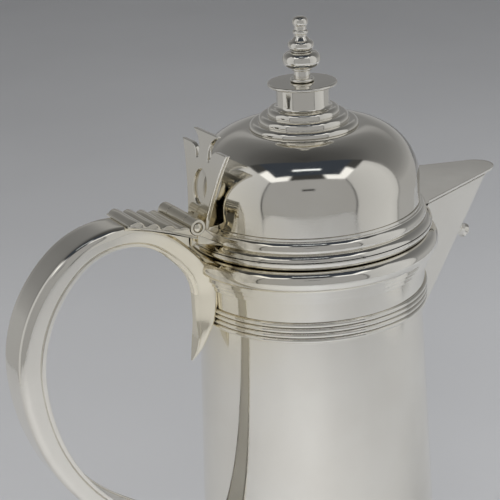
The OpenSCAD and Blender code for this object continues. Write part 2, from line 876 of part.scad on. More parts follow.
module finial_disc() {
    color(bright_silver) rotate_extrude() difference() {
        union() {
            slab(disc_r - disc_t / 2, disc_z, finial_z);
            bulge(disc_r, disc_z + disc_t / 2, disc_t / 2);
        }
        slab(bore_r, disc_z - over, finial_z + over);
    }
}

// Turned finial on its stem: foot, collar, main knop, upper knop, slope, bead and button
module finial() {
    tip_z = finial_z + finial_h;
    collar_z = finial_z + collar_h;
    knop_z = finial_z + knop_h;
    upper_z = finial_z + upper_knop_h;
    slope_z = upper_z + upper_round - slope_tuck;
    color(bright_silver) rotate_extrude() intersection() {
        slab(far, 0, far);
        union() {
            slab(stem_r, nut_z - stem_end, finial_z);
            slab(finial_core_r, finial_z, tip_z - button_round);
            slab(finial_foot_r - foot_round, finial_z, finial_z + 2 * foot_round);
            bulge(finial_foot_r, finial_z + foot_round, foot_round);
            slab(low_neck_r, finial_z, knop_z);
            bulge(collar_r, collar_z, collar_round);
            slab(collar_r - collar_round, collar_z - collar_round, knop_z);
            bulge(knop_r, knop_z, knop_round);
            slab(knop_r - knop_round, knop_z - knop_round, knop_z + knop_round);
            slab(knop_neck_r, knop_z, knop_z + knop_round + knop_fillet);
            bulge(upper_knop_r, upper_z, upper_round);
            slab(upper_knop_r - upper_round, knop_z, upper_z + upper_round);
            polygon([[0, slope_z], [knop_neck_r, slope_z], [finial_core_r, slope_z + slope_h],
                [0, slope_z + slope_h]]);
            bulge(button_r, tip_z - bead_drop, small_bead);
            bulge(button_r, tip_z - button_round, button_round);
            slab(button_r - button_round, tip_z - 2 * button_round, tip_z);
        }
    }
}

module finial_washer() {
    color(shaded_silver) translate([0, 0, washer_z]) difference() {
        cylinder(r = washer_r, h = washer_t);
        translate([0, 0, -over]) cylinder(r = bore_r, h = washer_t + 2 * over);
    }
}

module finial_nut() {
    color(shaded_silver) translate([0, 0, nut_z]) difference() {
        cylinder(r = nut_r, h = nut_t, $fn = 6);
        translate([0, 0, -over]) cylinder(r = bore_r, h = nut_t + 2 * over);
    }
}

// Two wings that slope from the hinge down to the lid's ring, one on each side of the tongue
module leaf_wings() {
    reach = hinge_setback + lid_rim_reach;
    rotate([90, 0, 0]) linear_extrude(2 * leaf_half_w, center = true)
        polygon([[hinge_x + wing_start, hinge_z], [hinge_x + reach, hinge_z - wing_fall],
            [hinge_x + reach, hinge_z - wing_fall - wing_t], [hinge_x + wing_start, hinge_z - wing_root]]);
}

// Thick tongue from the lid's ring to the hinge, with wings and a web up to the middle knuckle
module lid_hinge_leaf() {
    reach = hinge_setback + lid_rim_reach;
    low_z = leaf_top_z - leaf_t;
    color(silver) difference() {
        union() {
            translate([hinge_x, -thumb_foot_w, low_z]) cube([reach, 2 * thumb_foot_w, leaf_t]);
            translate([hinge_x, -lid_knuckle_w / 2, low_z])
                cube([barrel_r + web_t, lid_knuckle_w, hinge_z - low_z]);
            difference() {
                leaf_wings();
                hinge_bar(barrel_r + barrel_clear, far);
            }
        }
        lid_core();
        hinge_bar(barrel_r, far);
    }
}

module lid_knuckle() {
    color(bright_silver) difference() {
        hinge_bar(barrel_r, lid_knuckle_w / 2);
        hinge_bar(pin_r + pin_clear, far);
    }
}

// One cut between the neck and a side lobe: a round bay that leaves the lobe's round corner standing
module thumb_cut() {
    bay_z = lobe_h - thumb_cut_h / 2;
    flare_w = top_half_w - thumb_neck_w;
    flare_h = thumb_h - top_edge_h - bay_z;
    bay_r = (flare_w * flare_w + flare_h * flare_h) / (2 * flare_w);
    edge = thumb_neck_w + thumb_cut_w;
    difference() {
        intersection() {
            translate([thumb_neck_w + bay_r, bay_z]) circle(bay_r);
            translate([0, lobe_h - thumb_cut_h]) square(far);
        }
        translate([edge + lobe_round, lobe_h - lobe_round]) circle(lobe_round);
        translate([edge + lobe_round, 0]) square([far, lobe_h]);
        translate([edge, 0]) square([far, lobe_h - lobe_round]);
    }
    translate([edge - thumb_cut_w / 2, lobe_h - thumb_cut_h]) circle(thumb_cut_w / 2);
}

// Outline of the thumbpiece: a widening blade with two side lobes and a flared top lobe
module thumb_outline() {
    difference() {
        union() {
            polygon([[-thumb_foot_w, -thumb_t], [thumb_foot_w, -thumb_t], [thumb_foot_w, thumb_foot_h],
                [lobe_half_w, lobe_h], [-lobe_half_w, lobe_h], [-thumb_foot_w, thumb_foot_h]]);
            translate([-top_half_w, lobe_h - lobe_round])
                square([2 * top_half_w, thumb_h - lobe_h + lobe_round]);
        }
        thumb_cut();
        mirror([1, 0]) thumb_cut();
        translate([0, pierce_mid]) scale([pierce_half_w / pierce_half_h, 1]) circle(pierce_half_h);
    }
}

module thumbpiece() {
    color(silver) difference() {
        translate([hinge_x + thumb_x, 0, leaf_top_z]) rotate([0, thumb_lean, 0]) rotate([90, 0, 90])
            linear_extrude(thumb_t, center = true) thumb_outline();
        translate([-far, -far / 2, leaf_top_z - far]) cube(far);
    }
}

body_shell();
base_plate();
foot_ring();
reeded_band();
neck_band();
rim_moulding();
rim_ring();
spout();
spout_boss();
spout_bead();
handle_shell();
handle_inner_strip();
handle_tail();
handle_upper_seat();
handle_heel_plate();
hinge_block();
outer_knuckles();
hinge_pin();
lid_rim();
lid_bezel();
lid_dome();
spout_cover();
crown_mount();
finial_drum();
finial_disc();
finial();
finial_washer();
finial_nut();
lid_hinge_leaf();
lid_knuckle();
thumbpiece();
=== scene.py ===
# %% [markdown]
# # A silver wine flagon with a hinged lid
# The frame holds every piece of the flagon at its real size. Its curved faces are loose flat triangles, and
# polished silver would show each of them as a facet. So every shining piece is laid out again here as a
# smooth surface on the frame's own sizes, and the silver itself is made with shader nodes.

# %% The frame and the unit
import json
import math

import bmesh
import bpy
import numpy as np
from mathutils import Matrix, Vector


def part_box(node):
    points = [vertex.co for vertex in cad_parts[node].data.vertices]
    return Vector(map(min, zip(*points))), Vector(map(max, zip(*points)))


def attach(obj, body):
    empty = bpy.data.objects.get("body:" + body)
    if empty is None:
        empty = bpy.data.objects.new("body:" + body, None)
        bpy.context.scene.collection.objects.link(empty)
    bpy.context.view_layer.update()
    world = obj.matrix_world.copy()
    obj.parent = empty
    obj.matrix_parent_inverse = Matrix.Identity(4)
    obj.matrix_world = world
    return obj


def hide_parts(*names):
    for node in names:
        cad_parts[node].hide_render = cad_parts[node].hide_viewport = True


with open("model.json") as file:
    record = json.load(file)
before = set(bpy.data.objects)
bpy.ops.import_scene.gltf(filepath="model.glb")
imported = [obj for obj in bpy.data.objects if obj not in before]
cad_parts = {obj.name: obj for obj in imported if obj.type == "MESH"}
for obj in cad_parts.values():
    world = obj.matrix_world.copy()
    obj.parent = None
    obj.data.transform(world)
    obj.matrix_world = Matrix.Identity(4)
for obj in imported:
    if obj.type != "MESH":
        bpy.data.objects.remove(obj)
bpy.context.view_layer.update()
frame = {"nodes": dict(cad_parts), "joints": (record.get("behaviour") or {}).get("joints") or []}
mm = 0.001


def node_box(node):
    """Lowest and highest corner of a node, as two arrays of metres."""
    low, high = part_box(node)
    return np.array(low), np.array(high)


# %% [markdown]
# ## The camera
# The picture looks down on the lid from the handle's side with a long lens. A camera can be placed by hand,
# but four plain measures say it better: the point it looks at, how far it stands round and above that
# point, and how far away it is. A small roll tips the frame the way a hand-held camera does.

# %% Camera
aim = Vector((-20.8, 12.0, 209.7)) * mm
camera_turn = math.radians(-30.0)
camera_rise = math.radians(20.98)
camera_distance = 582.2 * mm
camera_roll = math.radians(-3.07)
camera_lens = 102.24

back = Vector((math.sin(camera_turn) * math.cos(camera_rise),
               -math.cos(camera_turn) * math.cos(camera_rise),
               math.sin(camera_rise)))
camera = bpy.data.objects.new("camera", bpy.data.cameras.new("camera"))
bpy.context.scene.collection.objects.link(camera)
camera.data.lens = camera_lens
camera.data.clip_start = 10 * mm
camera.location = aim + back * camera_distance
looking = back.to_track_quat("Z", "Y").to_matrix() @ Matrix.Rotation(camera_roll, 3, "Z")
camera.rotation_euler = looking.to_euler()
bpy.context.scene.camera = camera
print("camera at", [round(c / mm) for c in camera.location], "mm")

# %% [markdown]
# ## The silver
# Silver is a metal, so its colour is the colour of its reflections. Three finishes are enough: the broad
# sheets, the brighter mouldings, and the duller inside that no cloth reaches. Each mixes two near tones by
# a slow noise, lets the gloss wander a little with a finer one, and adds fine wiping scratches and the faint
# unevenness of hand-raised sheet as bump, so that straight reflections waver as they do on the real thing.
# No cloth reaches the creases either: an ambient occlusion node finds them and the joins between pieces, and
# darkens them, partly as tarnish and partly as painted shade.
# Round the handle's upper end the silver is warmer, and on the rings below the barrel's near end it has a
# darker mottled patch, both by the distance from two places.


# %% Node helpers
def feed(tree, socket, value):
    """Links a socket to another node's output, or gives it a plain value."""
    if isinstance(value, bpy.types.NodeSocket):
        tree.links.new(value, socket)
    else:
        socket.default_value = value


def calculate(tree, operation, *values):
    """A math node on linked or plain values."""
    node = tree.nodes.new("ShaderNodeMath")
    node.operation = operation
    for socket, value in zip(node.inputs, values):
        feed(tree, socket, value)
    return node.outputs["Value"]


def mixed(tree, factor, first, second):
    """The first colour where the factor is 0, the second where it is 1, and a blend between."""
    mix = tree.nodes.new("ShaderNodeMix")
    mix.data_type = "RGBA"
    for name, value in (("Factor", factor), ("A", first), ("B", second)):
        feed(tree, mix.inputs[name], value)
    return mix.outputs["Result"]


def spread(tree, value, from_low, from_high, low=0.0, high=1.0):
    """A value between two bounds, stretched to two others and held at their ends."""
    node = tree.nodes.new("ShaderNodeMapRange")
    bounds = {"From Min": from_low, "From Max": from_high, "To Min": low, "To Max": high}
    for name, given in {"Value": value, **bounds}.items():
        feed(tree, node.inputs[name], given)
    return node.outputs["Result"]


def noise(tree, place, waves, detail):
    """A noise texture on a place, with its scale in waves to the metre."""
    texture = tree.nodes.new("ShaderNodeTexNoise")
    for name, value in (("Vector", place), ("Scale", waves), ("Detail", detail)):
        feed(tree, texture.inputs[name], value)
    return texture.outputs["Fac"]


def clouds(tree, place, waves, detail, low=0.0, high=1.0):
    """Noise spread out from low to high; most of a plain noise lies between 0.3 and 0.7."""
    return spread(tree, noise(tree, place, waves, detail), 0.3, 0.7, low, high)


def close_to(tree, place, middle, reach):
    """One within 0.4 of a reach from a place, falling to nothing at the whole reach."""
    away = tree.nodes.new("ShaderNodeVectorMath")
    away.operation = "DISTANCE"
    feed(tree, away.inputs[0], place)
    feed(tree, away.inputs[1], middle)
    return spread(tree, away.outputs["Value"], reach, 0.4 * reach)


def bump(tree, height, depth, strength=1.0, over=None):
    """The normal of a bump with a depth in metres, laid over another bump where one is given."""
    node = tree.nodes.new("ShaderNodeBump")
    for name, value in (("Height", height), ("Distance", depth), ("Strength", strength)):
        feed(tree, node.inputs[name], value)
    if over is not None:
        feed(tree, node.inputs["Normal"], over)
    return node.outputs["Normal"]


# %% Silver finishes
# The dark colour below is both tarnish and painted shade: creases and joins found by ambient occlusion are
# darkened towards it.
tarnish_and_painted_shade = (0.22, 0.19, 0.135, 1.0)
warm_silver = (0.88, 0.82, 0.67, 1.0)
warm_place, warm_reach = np.array([-58.0, -6.0, 210.0]) * mm, 50.0 * mm
# A mottled patch on the rings below the barrel's near end is darkened towards the dark colour, by its
# distance from this place.
dark_patch_place, dark_patch_reach = np.array([-43.0, -17.0, 220.0]) * mm, 17.0 * mm
dark_patch_low, dark_patch_high = -0.1, 0.75
crease_shut, crease_open = 0.06, 0.58
tone_waves, gloss_waves, dark_patch_waves, raised_waves = 34, 160, 190, 30
scratch_waves, scratch_depth, scratch_strength = 900, 0.01 * mm, 0.25
wiped_round = (1.0, 1.0, 14.0)


def silver_finish(name, light, shade, gloss, wave, crease, metal):
    """Silver between two tones, with its roughness range, waves, reach of creases and share of metal."""
    material = bpy.data.materials.new(name)
    material.use_nodes = True
    tree = material.node_tree
    shader = tree.nodes["Principled BSDF"]
    place = tree.nodes.new("ShaderNodeTexCoord").outputs["Object"]
    # Ambient occlusion darkens creases and joins between pieces: partly tarnish, partly painted shade.
    shut_in = tree.nodes.new("ShaderNodeAmbientOcclusion")
    shut_in.inputs["Distance"].default_value = crease
    wiped = tree.nodes.new("ShaderNodeMapping")
    wiped.inputs["Scale"].default_value = wiped_round
    tree.links.new(place, wiped.inputs["Vector"])

    tone = mixed(tree, clouds(tree, place, tone_waves, 4), (*shade, 1.0), (*light, 1.0))
    tone = mixed(tree, close_to(tree, place, warm_place, warm_reach), tone, warm_silver)
    # The mottled darker patch on the rings below the barrel's near end.
    dark_patch = calculate(tree, "MULTIPLY", close_to(tree, place, dark_patch_place, dark_patch_reach),
                      clouds(tree, place, dark_patch_waves, 5, dark_patch_low, dark_patch_high))
    undarkened_share = calculate(tree, "SUBTRACT", spread(tree, shut_in.outputs["AO"], crease_shut, crease_open), dark_patch)
    wiping = noise(tree, wiped.outputs["Vector"], scratch_waves, 2)
    scratches = bump(tree, wiping, scratch_depth, scratch_strength)
    feed(tree, shader.inputs["Base Color"], mixed(tree, undarkened_share, tarnish_and_painted_shade, tone))
    feed(tree, shader.inputs["Metallic"], metal)
    feed(tree, shader.inputs["Roughness"], clouds(tree, place, gloss_waves, 5, *gloss))
    feed(tree, shader.inputs["Normal"], bump(tree, noise(tree, place, raised_waves, 1), wave, over=scratches))
    return material


looks = {
    "silver": ((0.93, 0.907, 0.84), (0.87, 0.84, 0.77), (0.045, 0.10), 0.10 * mm, 1.4 * mm, 1.0),
    "bright_silver": ((0.94, 0.92, 0.86), (0.88, 0.853, 0.785), (0.03, 0.08), 0.05 * mm, 1.2 * mm, 1.0),
    "inner_silver": ((0.92, 0.905, 0.86), (0.85, 0.83, 0.78), (0.30, 0.42), 0.12 * mm, 4.0 * mm, 0.45),
}
finishes = {name: silver_finish(name, *look) for name, look in looks.items()}
print("finishes:", sorted(finishes))

# %% [markdown]
# ## From points to pieces
# A surface here is a grid of points: rows along one parameter, columns along the other. Blender wants a list
# of points and a list of faces, and the faces of a grid follow from its numbering alone. Doubled points at
# poles and seams are merged, ends that are still open are filled, and all faces are turned outwards.


# %% Grids become meshes
def grid_faces(rows, columns, wrap_rows, wrap_columns, first):
    """Quads between neighbours of a grid that is numbered row by row, starting at first."""
    number = first + np.arange(rows * columns).reshape(rows, columns)
    if wrap_rows:
        number = np.vstack([number, number[:1]])
    if wrap_columns:
        number = np.hstack([number, number[:, :1]])
    corners = [number[:-1, :-1], number[1:, :-1], number[1:, 1:], number[:-1, 1:]]
    return np.stack(corners, -1).reshape(-1, 4)


def closed_mesh(name, points, faces):
    """One mesh of points and faces, with doubles merged, open ends filled and faces turned outwards."""
    mesh = bpy.data.meshes.new(name)
    mesh.from_pydata(points.tolist(), [], faces)
    work = bmesh.new()
    work.from_mesh(mesh)
    bmesh.ops.remove_doubles(work, verts=work.verts, dist=0.002 * mm)
    bmesh.ops.holes_fill(work, edges=[edge for edge in work.edges if edge.is_boundary], sides=0)
    bmesh.ops.recalc_face_normals(work, faces=work.faces)
    work.to_mesh(mesh)
    work.free()
    return mesh


def dress(mesh, node, body, slot, sharp_from=40):
    """Shades a mesh smooth up to an angle in degrees and hands it to the frame in place of its node."""
    mesh.shade_smooth()
    mesh.set_sharp_from_angle(angle=math.radians(sharp_from))
    mesh.materials.append(finishes[slot])
    piece = bpy.data.objects.new(node + "_skin", mesh)
    bpy.context.scene.collection.objects.link(piece)
    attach(piece, body)
    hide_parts(node)
    size = np.ptp(np.array([corner[:] for corner in piece.bound_box]), axis=0) / mm
    print(piece.name, "faces", len(mesh.polygons), "size", size.round(1), "mm")
    return piece


def add_piece(node, body, slot, grids, wrap_rows=True, wrap_columns=True, seam=None):
    """A piece from one or more grids; seam holds extra quads, numbered in the first grid."""
    starts = np.cumsum([0] + [grid.shape[0] * grid.shape[1] for grid in grids])
    faces = [grid_faces(*grid.shape[:2], wrap_rows, wrap_columns, first)
             for grid, first in zip(grids, starts)]
    if seam is not None:
        faces.append(seam)
    points = np.concatenate([grid.reshape(-1, 3) for grid in grids])
    return dress(closed_mesh(node, points, np.concatenate(faces).tolist()), node, body, slot)


print("a closed grid of 3 by 4 points has", len(grid_faces(3, 4, True, True, 0)), "faces")

# %% [markdown]
# ## Profiles that catch the light
# No edge on worn silver is sharp: polishing rounds it, and that small round is what draws the bright line
# along a moulding. A profile is therefore written with plain corners and then averaged along its own length
# with a bell-shaped weight. After that it is sampled anew, closely where it bends and widely where it runs.


# %% Soft profiles
def along(points, places):
    """Points at given distances along a polyline."""
    length = np.concatenate([[0.0], np.cumsum(np.hypot(*np.diff(points, axis=0).T))])
    fresh = np.concatenate([[True], np.diff(length) > 1e-9])
    return np.stack([np.interp(places, length[fresh], points[fresh, k]) for k in (0, 1)], 1), length[-1]


def bell_average(points, reach, closed):
    """Each point becomes the bell-weighted mean of the points within reach on both sides."""
    weight = np.exp(-0.5 * (np.linspace(-2.6, 2.6, 2 * reach + 1)) ** 2)
    before = points[-reach:] if closed else 2 * points[0] - points[reach:0:-1]
    after = points[:reach] if closed else 2 * points[-1] - points[-2:-reach - 2:-1]
    padded = np.concatenate([before, points, after])
    return np.stack([np.convolve(column, weight / weight.sum(), "valid") for column in padded.T], 1)


def fine(profile, soft, closed=True, bend=8.0, run=3.0 * mm):
    """A profile with softened corners, sampled at every bend of some degrees and every run of a length."""
    points = np.asarray(profile, float)
    if closed:
        points = np.vstack([points, points[:1]])
    total = along(points, np.zeros(1))[1]
    count = max(int(total / soft * 4), 40)
    even = along(points, np.linspace(0, total, count + 1))[0]
    reach = 9
    even = bell_average(even[:-1] if closed else even, reach, closed)
    if closed:
        even = np.vstack([even, even[:1]])
    step = np.diff(even, axis=0)
    turn = np.degrees(np.abs(np.diff(np.unwrap(np.arctan2(step[:, 1], step[:, 0])), prepend=np.nan)))
    turn[0] = turn[1]
    window = 2 * reach + 1
    near = np.convolve(np.pad(turn, reach, "edge"), np.full(window, 1 / window), "valid")
    effort = np.concatenate([[0.0], np.cumsum(np.hypot(*step.T) / run + near / bend)])
    wanted = np.linspace(0, effort[-1], int(np.ceil(effort[-1])) + 1)
    picked = np.stack([np.interp(wanted, effort, even[:, k]) for k in (0, 1)], 1)
    return picked[:-1] if closed else picked


def arc(centre, radius, start, end, count=24):
    """Points on a circle from one angle to another, in degrees."""
    angle = np.radians(np.linspace(start, end, count))
    return np.stack([centre[0] + radius * np.cos(angle), centre[1] + radius * np.sin(angle)], 1)


def half_round(crest, middle, radius):
    """Reach of a half-round at each height: its crest stands at a radius, at its middle height."""
    def reach(z):
        rise = np.sqrt(np.clip(radius ** 2 - (z - middle) ** 2, 0, None))
        return np.where(np.abs(z - middle) <= radius, crest - radius + rise, 0.0)
    return reach


def slab(radius, low, high):
    """Reach of a plain cylinder between two heights."""
    return lambda z: np.where((z >= low) & (z <= high), radius, 0.0)


def hollow(radius, start, low, high):
    """Reach of a hollow quarter-round that sweeps from a start radius at low in to its own radius at high."""
    def reach(z):
        sweep = start - np.sqrt(np.clip(radius ** 2 - (high - z) ** 2, 0, None))
        return np.where((z >= low) & (z <= high), sweep, 0.0)
    return reach


def turner_outline(low, high, *shapes):
    """Profile of a turned piece, from low to high: at each height the widest of its shapes."""
    z = np.linspace(low, high, 1600)
    return np.stack([np.max([shape(z) for shape in shapes], axis=0), z], 1)


def turned(profile, sides=160, gap=None):
    """Turns a profile about the body's axis: x is r cos a, y is r sin a, and a gap leaves the spout free."""
    r, z = profile[:, :1], profile[:, 1:]
    if gap is None:
        angle = np.linspace(0, 2 * np.pi, sides + 1)[None, :-1]
    else:
        angle = gap[:, None] + (2 * np.pi - 2 * gap[:, None]) * np.linspace(0, 1, sides + 1)
    return np.stack(np.broadcast_arrays(r * np.cos(angle), r * np.sin(angle), z), -1)


print("a softened square has", len(fine([[0, 0], [mm, 0], [mm, mm], [0, mm]], 0.1 * mm)), "points")

# %% [markdown]
# ## Where the spout cuts the rings
# The spout is a V with a rounded keel that leans out along a straight line. Seen square to that line its
# section never changes, so one formula says how wide it is at any distance from the keel. Every ring round
# the neck stops where it meets the V: the half angle of that gap is found by halving an interval.

# %% Spout section and gaps
rim_z = node_box("body_shell")[1][2]
spout_tip_x, spout_edge_z = node_box("spout")[1][[0, 2]]
keel = math.radians(58.0)
cheek = math.radians(23.0)
keel_r = 8.6 * mm
spout_t = 1.5 * mm


def section_width(v, inset):
    """Half width of the spout at distance v from the keel line: a circle below, straight cheeks above."""
    r = keel_r - inset
    join = keel_r - r * math.sin(cheek)
    round_part = np.sqrt(np.clip(r ** 2 - (v - keel_r) ** 2, 0, None))
    return np.where(v < join, round_part, r * math.cos(cheek) + (v - join) * math.tan(cheek))


def halved(holds, low, high):
    """Place between two bounds up to which a test holds, by halving the interval fifty times."""
    for _ in range(50):
        middle = (low + high) / 2
        yes = holds(middle)
        low, high = np.where(yes, middle, low), np.where(yes, high, middle)
    return high


def spout_gap(r, z, inset=0.0):
    """Half angle at which a circle at a height leaves the spout: r sin a reaches the half width."""
    def inside(angle):
        v = (spout_tip_x - r * np.cos(angle)) * math.sin(keel) + (z - spout_edge_z) * math.cos(keel)
        return r * np.sin(angle) < section_width(v, inset)
    gap = halved(inside, np.zeros_like(r), np.full_like(r, np.pi / 2))
    return np.where(gap < 1e-6, 0.0, gap)


rim_gap = np.degrees(2 * spout_gap(np.array([50 * mm]), np.array([rim_z])))
print("gap of the rim:", rim_gap.round(1), "degrees")

# %% [markdown]
# ## The wall of the vessel
# The body is one sheet of silver, raised to a slow taper and opened behind the spout. It could be a plain
# turned shell with a Boolean cut, but a cut leaves long thin faces that spoil the reflection. Instead each
# row of the grid simply starts and ends at the opening, and two strips of quads close its thickness.

# %% Body shell
shell_low, shell_high = node_box("body_shell")
wall_t = 1.2 * mm
wall_top_r = 44.7 * mm
wall_slope = (wall_top_r - shell_high[1]) / (rim_z - shell_low[2])


def wall_r(z):
    """Outer radius of the wall: it tapers evenly from the foot to the rim."""
    return wall_top_r + wall_slope * (z - rim_z)


wall_zero = wall_r(0.0)
mouth_z = ((spout_t + spout_edge_z * math.cos(keel) - (spout_tip_x - wall_zero) * math.sin(keel))
           / (math.cos(keel) - wall_slope * math.sin(keel)))
lip = wall_t / 2
rise = np.linspace(0, 1, 70)[1:] ** 2
wall_z = np.concatenate([np.linspace(shell_low[2], mouth_z, 50), mouth_z + (rim_z - lip - mouth_z) * rise])
outside = np.stack([wall_r(wall_z), wall_z], 1)
inside = outside[::-1] - [wall_t, 0]
lip_round = arc((wall_top_r - lip, rim_z - lip), lip, 0, 180, 9)[1:-1]
wall_gap = spout_gap(outside[:, 0], wall_z, spout_t)
wall_grid = turned(np.vstack([outside, lip_round, inside]), 200,
                   np.concatenate([wall_gap, np.full(len(lip_round), wall_gap[-1]), wall_gap[::-1]]))
columns = wall_grid.shape[1]
cut_row = np.nonzero(wall_gap[1:] > 0)[0]
partner = len(wall_grid) - 1 - cut_row
edge_numbers = np.stack([cut_row, cut_row + 1, partner - 1, partner], 1) * columns
body = add_piece("body_shell", "flagon", "silver", [wall_grid], wrap_columns=False,
                 seam=np.vstack([edge_numbers, edge_numbers + columns - 1]))
middles = np.empty(len(body.data.polygons) * 3)
body.data.polygons.foreach_get("center", middles)
mid_x, mid_y, mid_z = middles.reshape(-1, 3).T
inner_depth = 0.8 * wall_t
within = np.hypot(mid_x, mid_y) < wall_r(mid_z) - inner_depth
body.data.materials.append(finishes["inner_silver"])
body.data.polygons.foreach_set("material_index", within.astype(np.int32))
print("dull faces inside the wall:", int(within.sum()))

# %% [markdown]
# ## Rings round the neck and the foot
# Bands, mouldings and foot are turned rings. A turner lays out such a profile as overlapping rounds and
# fillets, and only the widest of them at each height is left standing. The profile functions do the same,
# which keeps every round a true circle. A ring's inner side follows the wall that it is soldered to.

# %% Neck rings
reeds_low, reeds_high = node_box("reeded_band")
reed_count = 4
reed_r = 1.05 * mm
reed_pitch = (reeds_high[2] - reeds_low[2]) / reed_count
_, bed_r, neck_top_z = node_box("neck_band")[1]
_, ovolo_r, ovolo_top_z = node_box("rim_moulding")[1]
ovolo_round = 4.2 * mm
ovolo_z = ovolo_top_z - ovolo_round
fillet_h = 1.95 * mm
fillet_step = 1.1 * mm
fillet_tuck = 2.4 * mm
rim_low, rim_high = node_box("rim_ring")
roll_r = 3.15 * mm
roll_sink = 0.05 * mm
roll_z = rim_low[2] + roll_r - roll_sink
edge_soft = 0.14 * mm


def ring_round_wall(name, slot, low, high, *shapes):
    """A ring soldered to the wall: the turner's outline outside, the wall inside, open at the spout."""
    outline = turner_outline(low, high, *shapes)
    back_of_ring = np.array([[wall_r(high), high], [wall_r(low), low]]) - [wall_t / 4, 0]
    profile = fine(np.vstack([outline, back_of_ring]), edge_soft)
    gap = spout_gap(profile[:, 0], profile[:, 1])
    add_piece(name, "flagon", slot, [turned(profile, 200, gap)], wrap_columns=False)


reeds = [half_round(bed_r + reed_r, reeds_low[2] + (i + 0.5) * reed_pitch, reed_r) for i in range(reed_count)]
ring_round_wall("reeded_band", "bright_silver", reeds_low[2], reeds_high[2],
                slab(bed_r, reeds_low[2], reeds_high[2]), *reeds)
ring_round_wall("neck_band", "silver", reeds_high[2], neck_top_z, slab(bed_r, reeds_high[2], neck_top_z))
fillets = [slab(ovolo_r - fillet_tuck - i * fillet_step, neck_top_z + (2 - i) * fillet_h, ovolo_z)
           for i in range(3)]
ring_round_wall("rim_moulding", "bright_silver", neck_top_z, ovolo_top_z,
                half_round(ovolo_r, ovolo_z, ovolo_round),
                slab(ovolo_r - ovolo_round, neck_top_z, ovolo_top_z), *fillets)
shared_roll = half_round(rim_high[1], roll_z, roll_r)
ring_round_wall("rim_ring", "bright_silver", rim_low[2], rim_high[2], shared_roll,
                slab(rim_high[1] - roll_r, rim_low[2], rim_high[2]))

# %% Foot
_, foot_edge_r, foot_h = node_box("foot_ring")[1]
flange_t = shell_low[2]
foot_bead = 2.4 * mm
bead_z = foot_h - 2 * foot_bead
foot_neck_r = wall_r(bead_z) + foot_bead / 2
hollow_r = bead_z - foot_bead - flange_t
foot_outline = turner_outline(
    0.0, foot_h,
    half_round(foot_edge_r, flange_t / 2, flange_t / 2),
    slab(foot_edge_r - flange_t / 2, 0.0, flange_t),
    hollow(hollow_r, foot_neck_r + hollow_r, flange_t, flange_t + hollow_r),
    half_round(foot_neck_r + foot_bead, bead_z, foot_bead),
    slab(foot_neck_r, 0.0, foot_h))
foot_back = np.array([[wall_r(foot_h), foot_h], [wall_r(flange_t), flange_t],
                      [wall_r(flange_t) - wall_t, flange_t], [wall_r(flange_t) - wall_t, 0.0]])
add_piece("foot_ring", "flagon", "silver", [turned(fine(np.vstack([foot_outline, foot_back]), edge_soft))])

# %% [markdown]
# ## The beak spout and its cover
# Every line along the spout is straight and runs parallel to the keel, so the spout is a ruled surface: for
# each point of the section, one line starts on the wall and ends at the level edge. Outside, edge and inside
# are one loop of points for each line. The cover is the same outline, drawn as a thin plate on the lid.


# %% Ruled lines of the spout
def spout_section(inset, end_r):
    """Section points (across, from the keel), cheek to cheek, up to a radius round the axis."""
    angle = np.linspace(0, math.pi / 2 - cheek, 22)
    round_u = (keel_r - inset) * np.sin(angle)
    round_v = keel_r - (keel_r - inset) * np.cos(angle)

    def beyond(v):
        return np.hypot(spout_tip_x - v / math.sin(keel), section_width(v, inset)) > end_r

    end_v = halved(beyond, round_v[-1], spout_tip_x * math.sin(keel))
    cheek_v = np.linspace(round_v[-1], end_v, 60)[1:]
    u = np.concatenate([round_u, section_width(cheek_v, inset)])
    v = np.concatenate([round_v, cheek_v])
    return np.concatenate([-u[:0:-1], u]), np.concatenate([v[:0:-1], v])


def spout_point(u, v, t):
    """A point from its place across the spout, its distance from the keel line and its way up that line."""
    x = spout_tip_x - v * math.sin(keel) + t * math.cos(keel)
    z = spout_edge_z + v * math.cos(keel) + t * math.sin(keel)
    return np.stack(np.broadcast_arrays(x, u, z), -1)


def way_to_height(v, z):
    """Way along the keel direction at which a line reaches a height."""
    return (z - spout_edge_z - v * math.cos(keel)) / math.sin(keel)


def way_to_wall(u, v, sink):
    """Way along the keel direction at which a line meets the tapering wall, from the quadratic of a cone."""
    x0 = spout_tip_x - v * math.sin(keel)
    r0 = wall_r(spout_edge_z + v * math.cos(keel)) - sink
    r1 = wall_slope * math.sin(keel)
    a = math.cos(keel) ** 2 - r1 ** 2
    b = x0 * math.cos(keel) - r0 * r1
    return (-b + np.sqrt(np.clip(b ** 2 - a * (x0 ** 2 + u ** 2 - r0 ** 2), 0, None))) / a


def toward(point, other, size, most=0.49):
    """Points a size away from one place towards another, but never past a share of the way."""
    way = other - point
    length = np.linalg.norm(way, axis=-1, keepdims=True)
    return point + way * np.minimum(size / np.maximum(length, 1e-9), most)


def corner(before, point, after, size, count=5):
    """A small curve round each corner, from a size towards before to a size towards after."""
    t = np.linspace(0, 1, count)[:, None, None]
    start, end = toward(point, before, size, 0.45), toward(point, after, size, 0.45)
    return (1 - t) ** 2 * start + 2 * t * (1 - t) * point + t ** 2 * end


print("lines along the spout:", len(spout_section(0.0, wall_r(spout_edge_z))[0]))

# %% Spout
lid_low, lid_high = node_box("lid_rim")
lid_r = lid_high[1]
lid_z0 = lid_low[2]
lid_seam = lid_z0 - rim_z
wall_sink = 0.3 * mm
lip_soft = 0.45 * mm
lip_flare = 0.45 * mm


def spout_lines(inset):
    """Both ends of every line of the spout: on the wall, and at the edge, lower where the lid's ring sits."""
    u, v = spout_section(inset, wall_r(spout_edge_z))
    level = spout_point(u, v, way_to_height(v, spout_edge_z))
    clear = np.clip((np.hypot(level[:, 0], level[:, 1]) - lid_r - 2 * lid_seam) / lid_seam, 0, 1)
    top = way_to_height(v, rim_z + (spout_edge_z - rim_z) * clear)
    bottom = np.minimum(way_to_wall(u, v, wall_sink), top - lip_soft)
    return spout_point(u, v, bottom), spout_point(u, v, top)


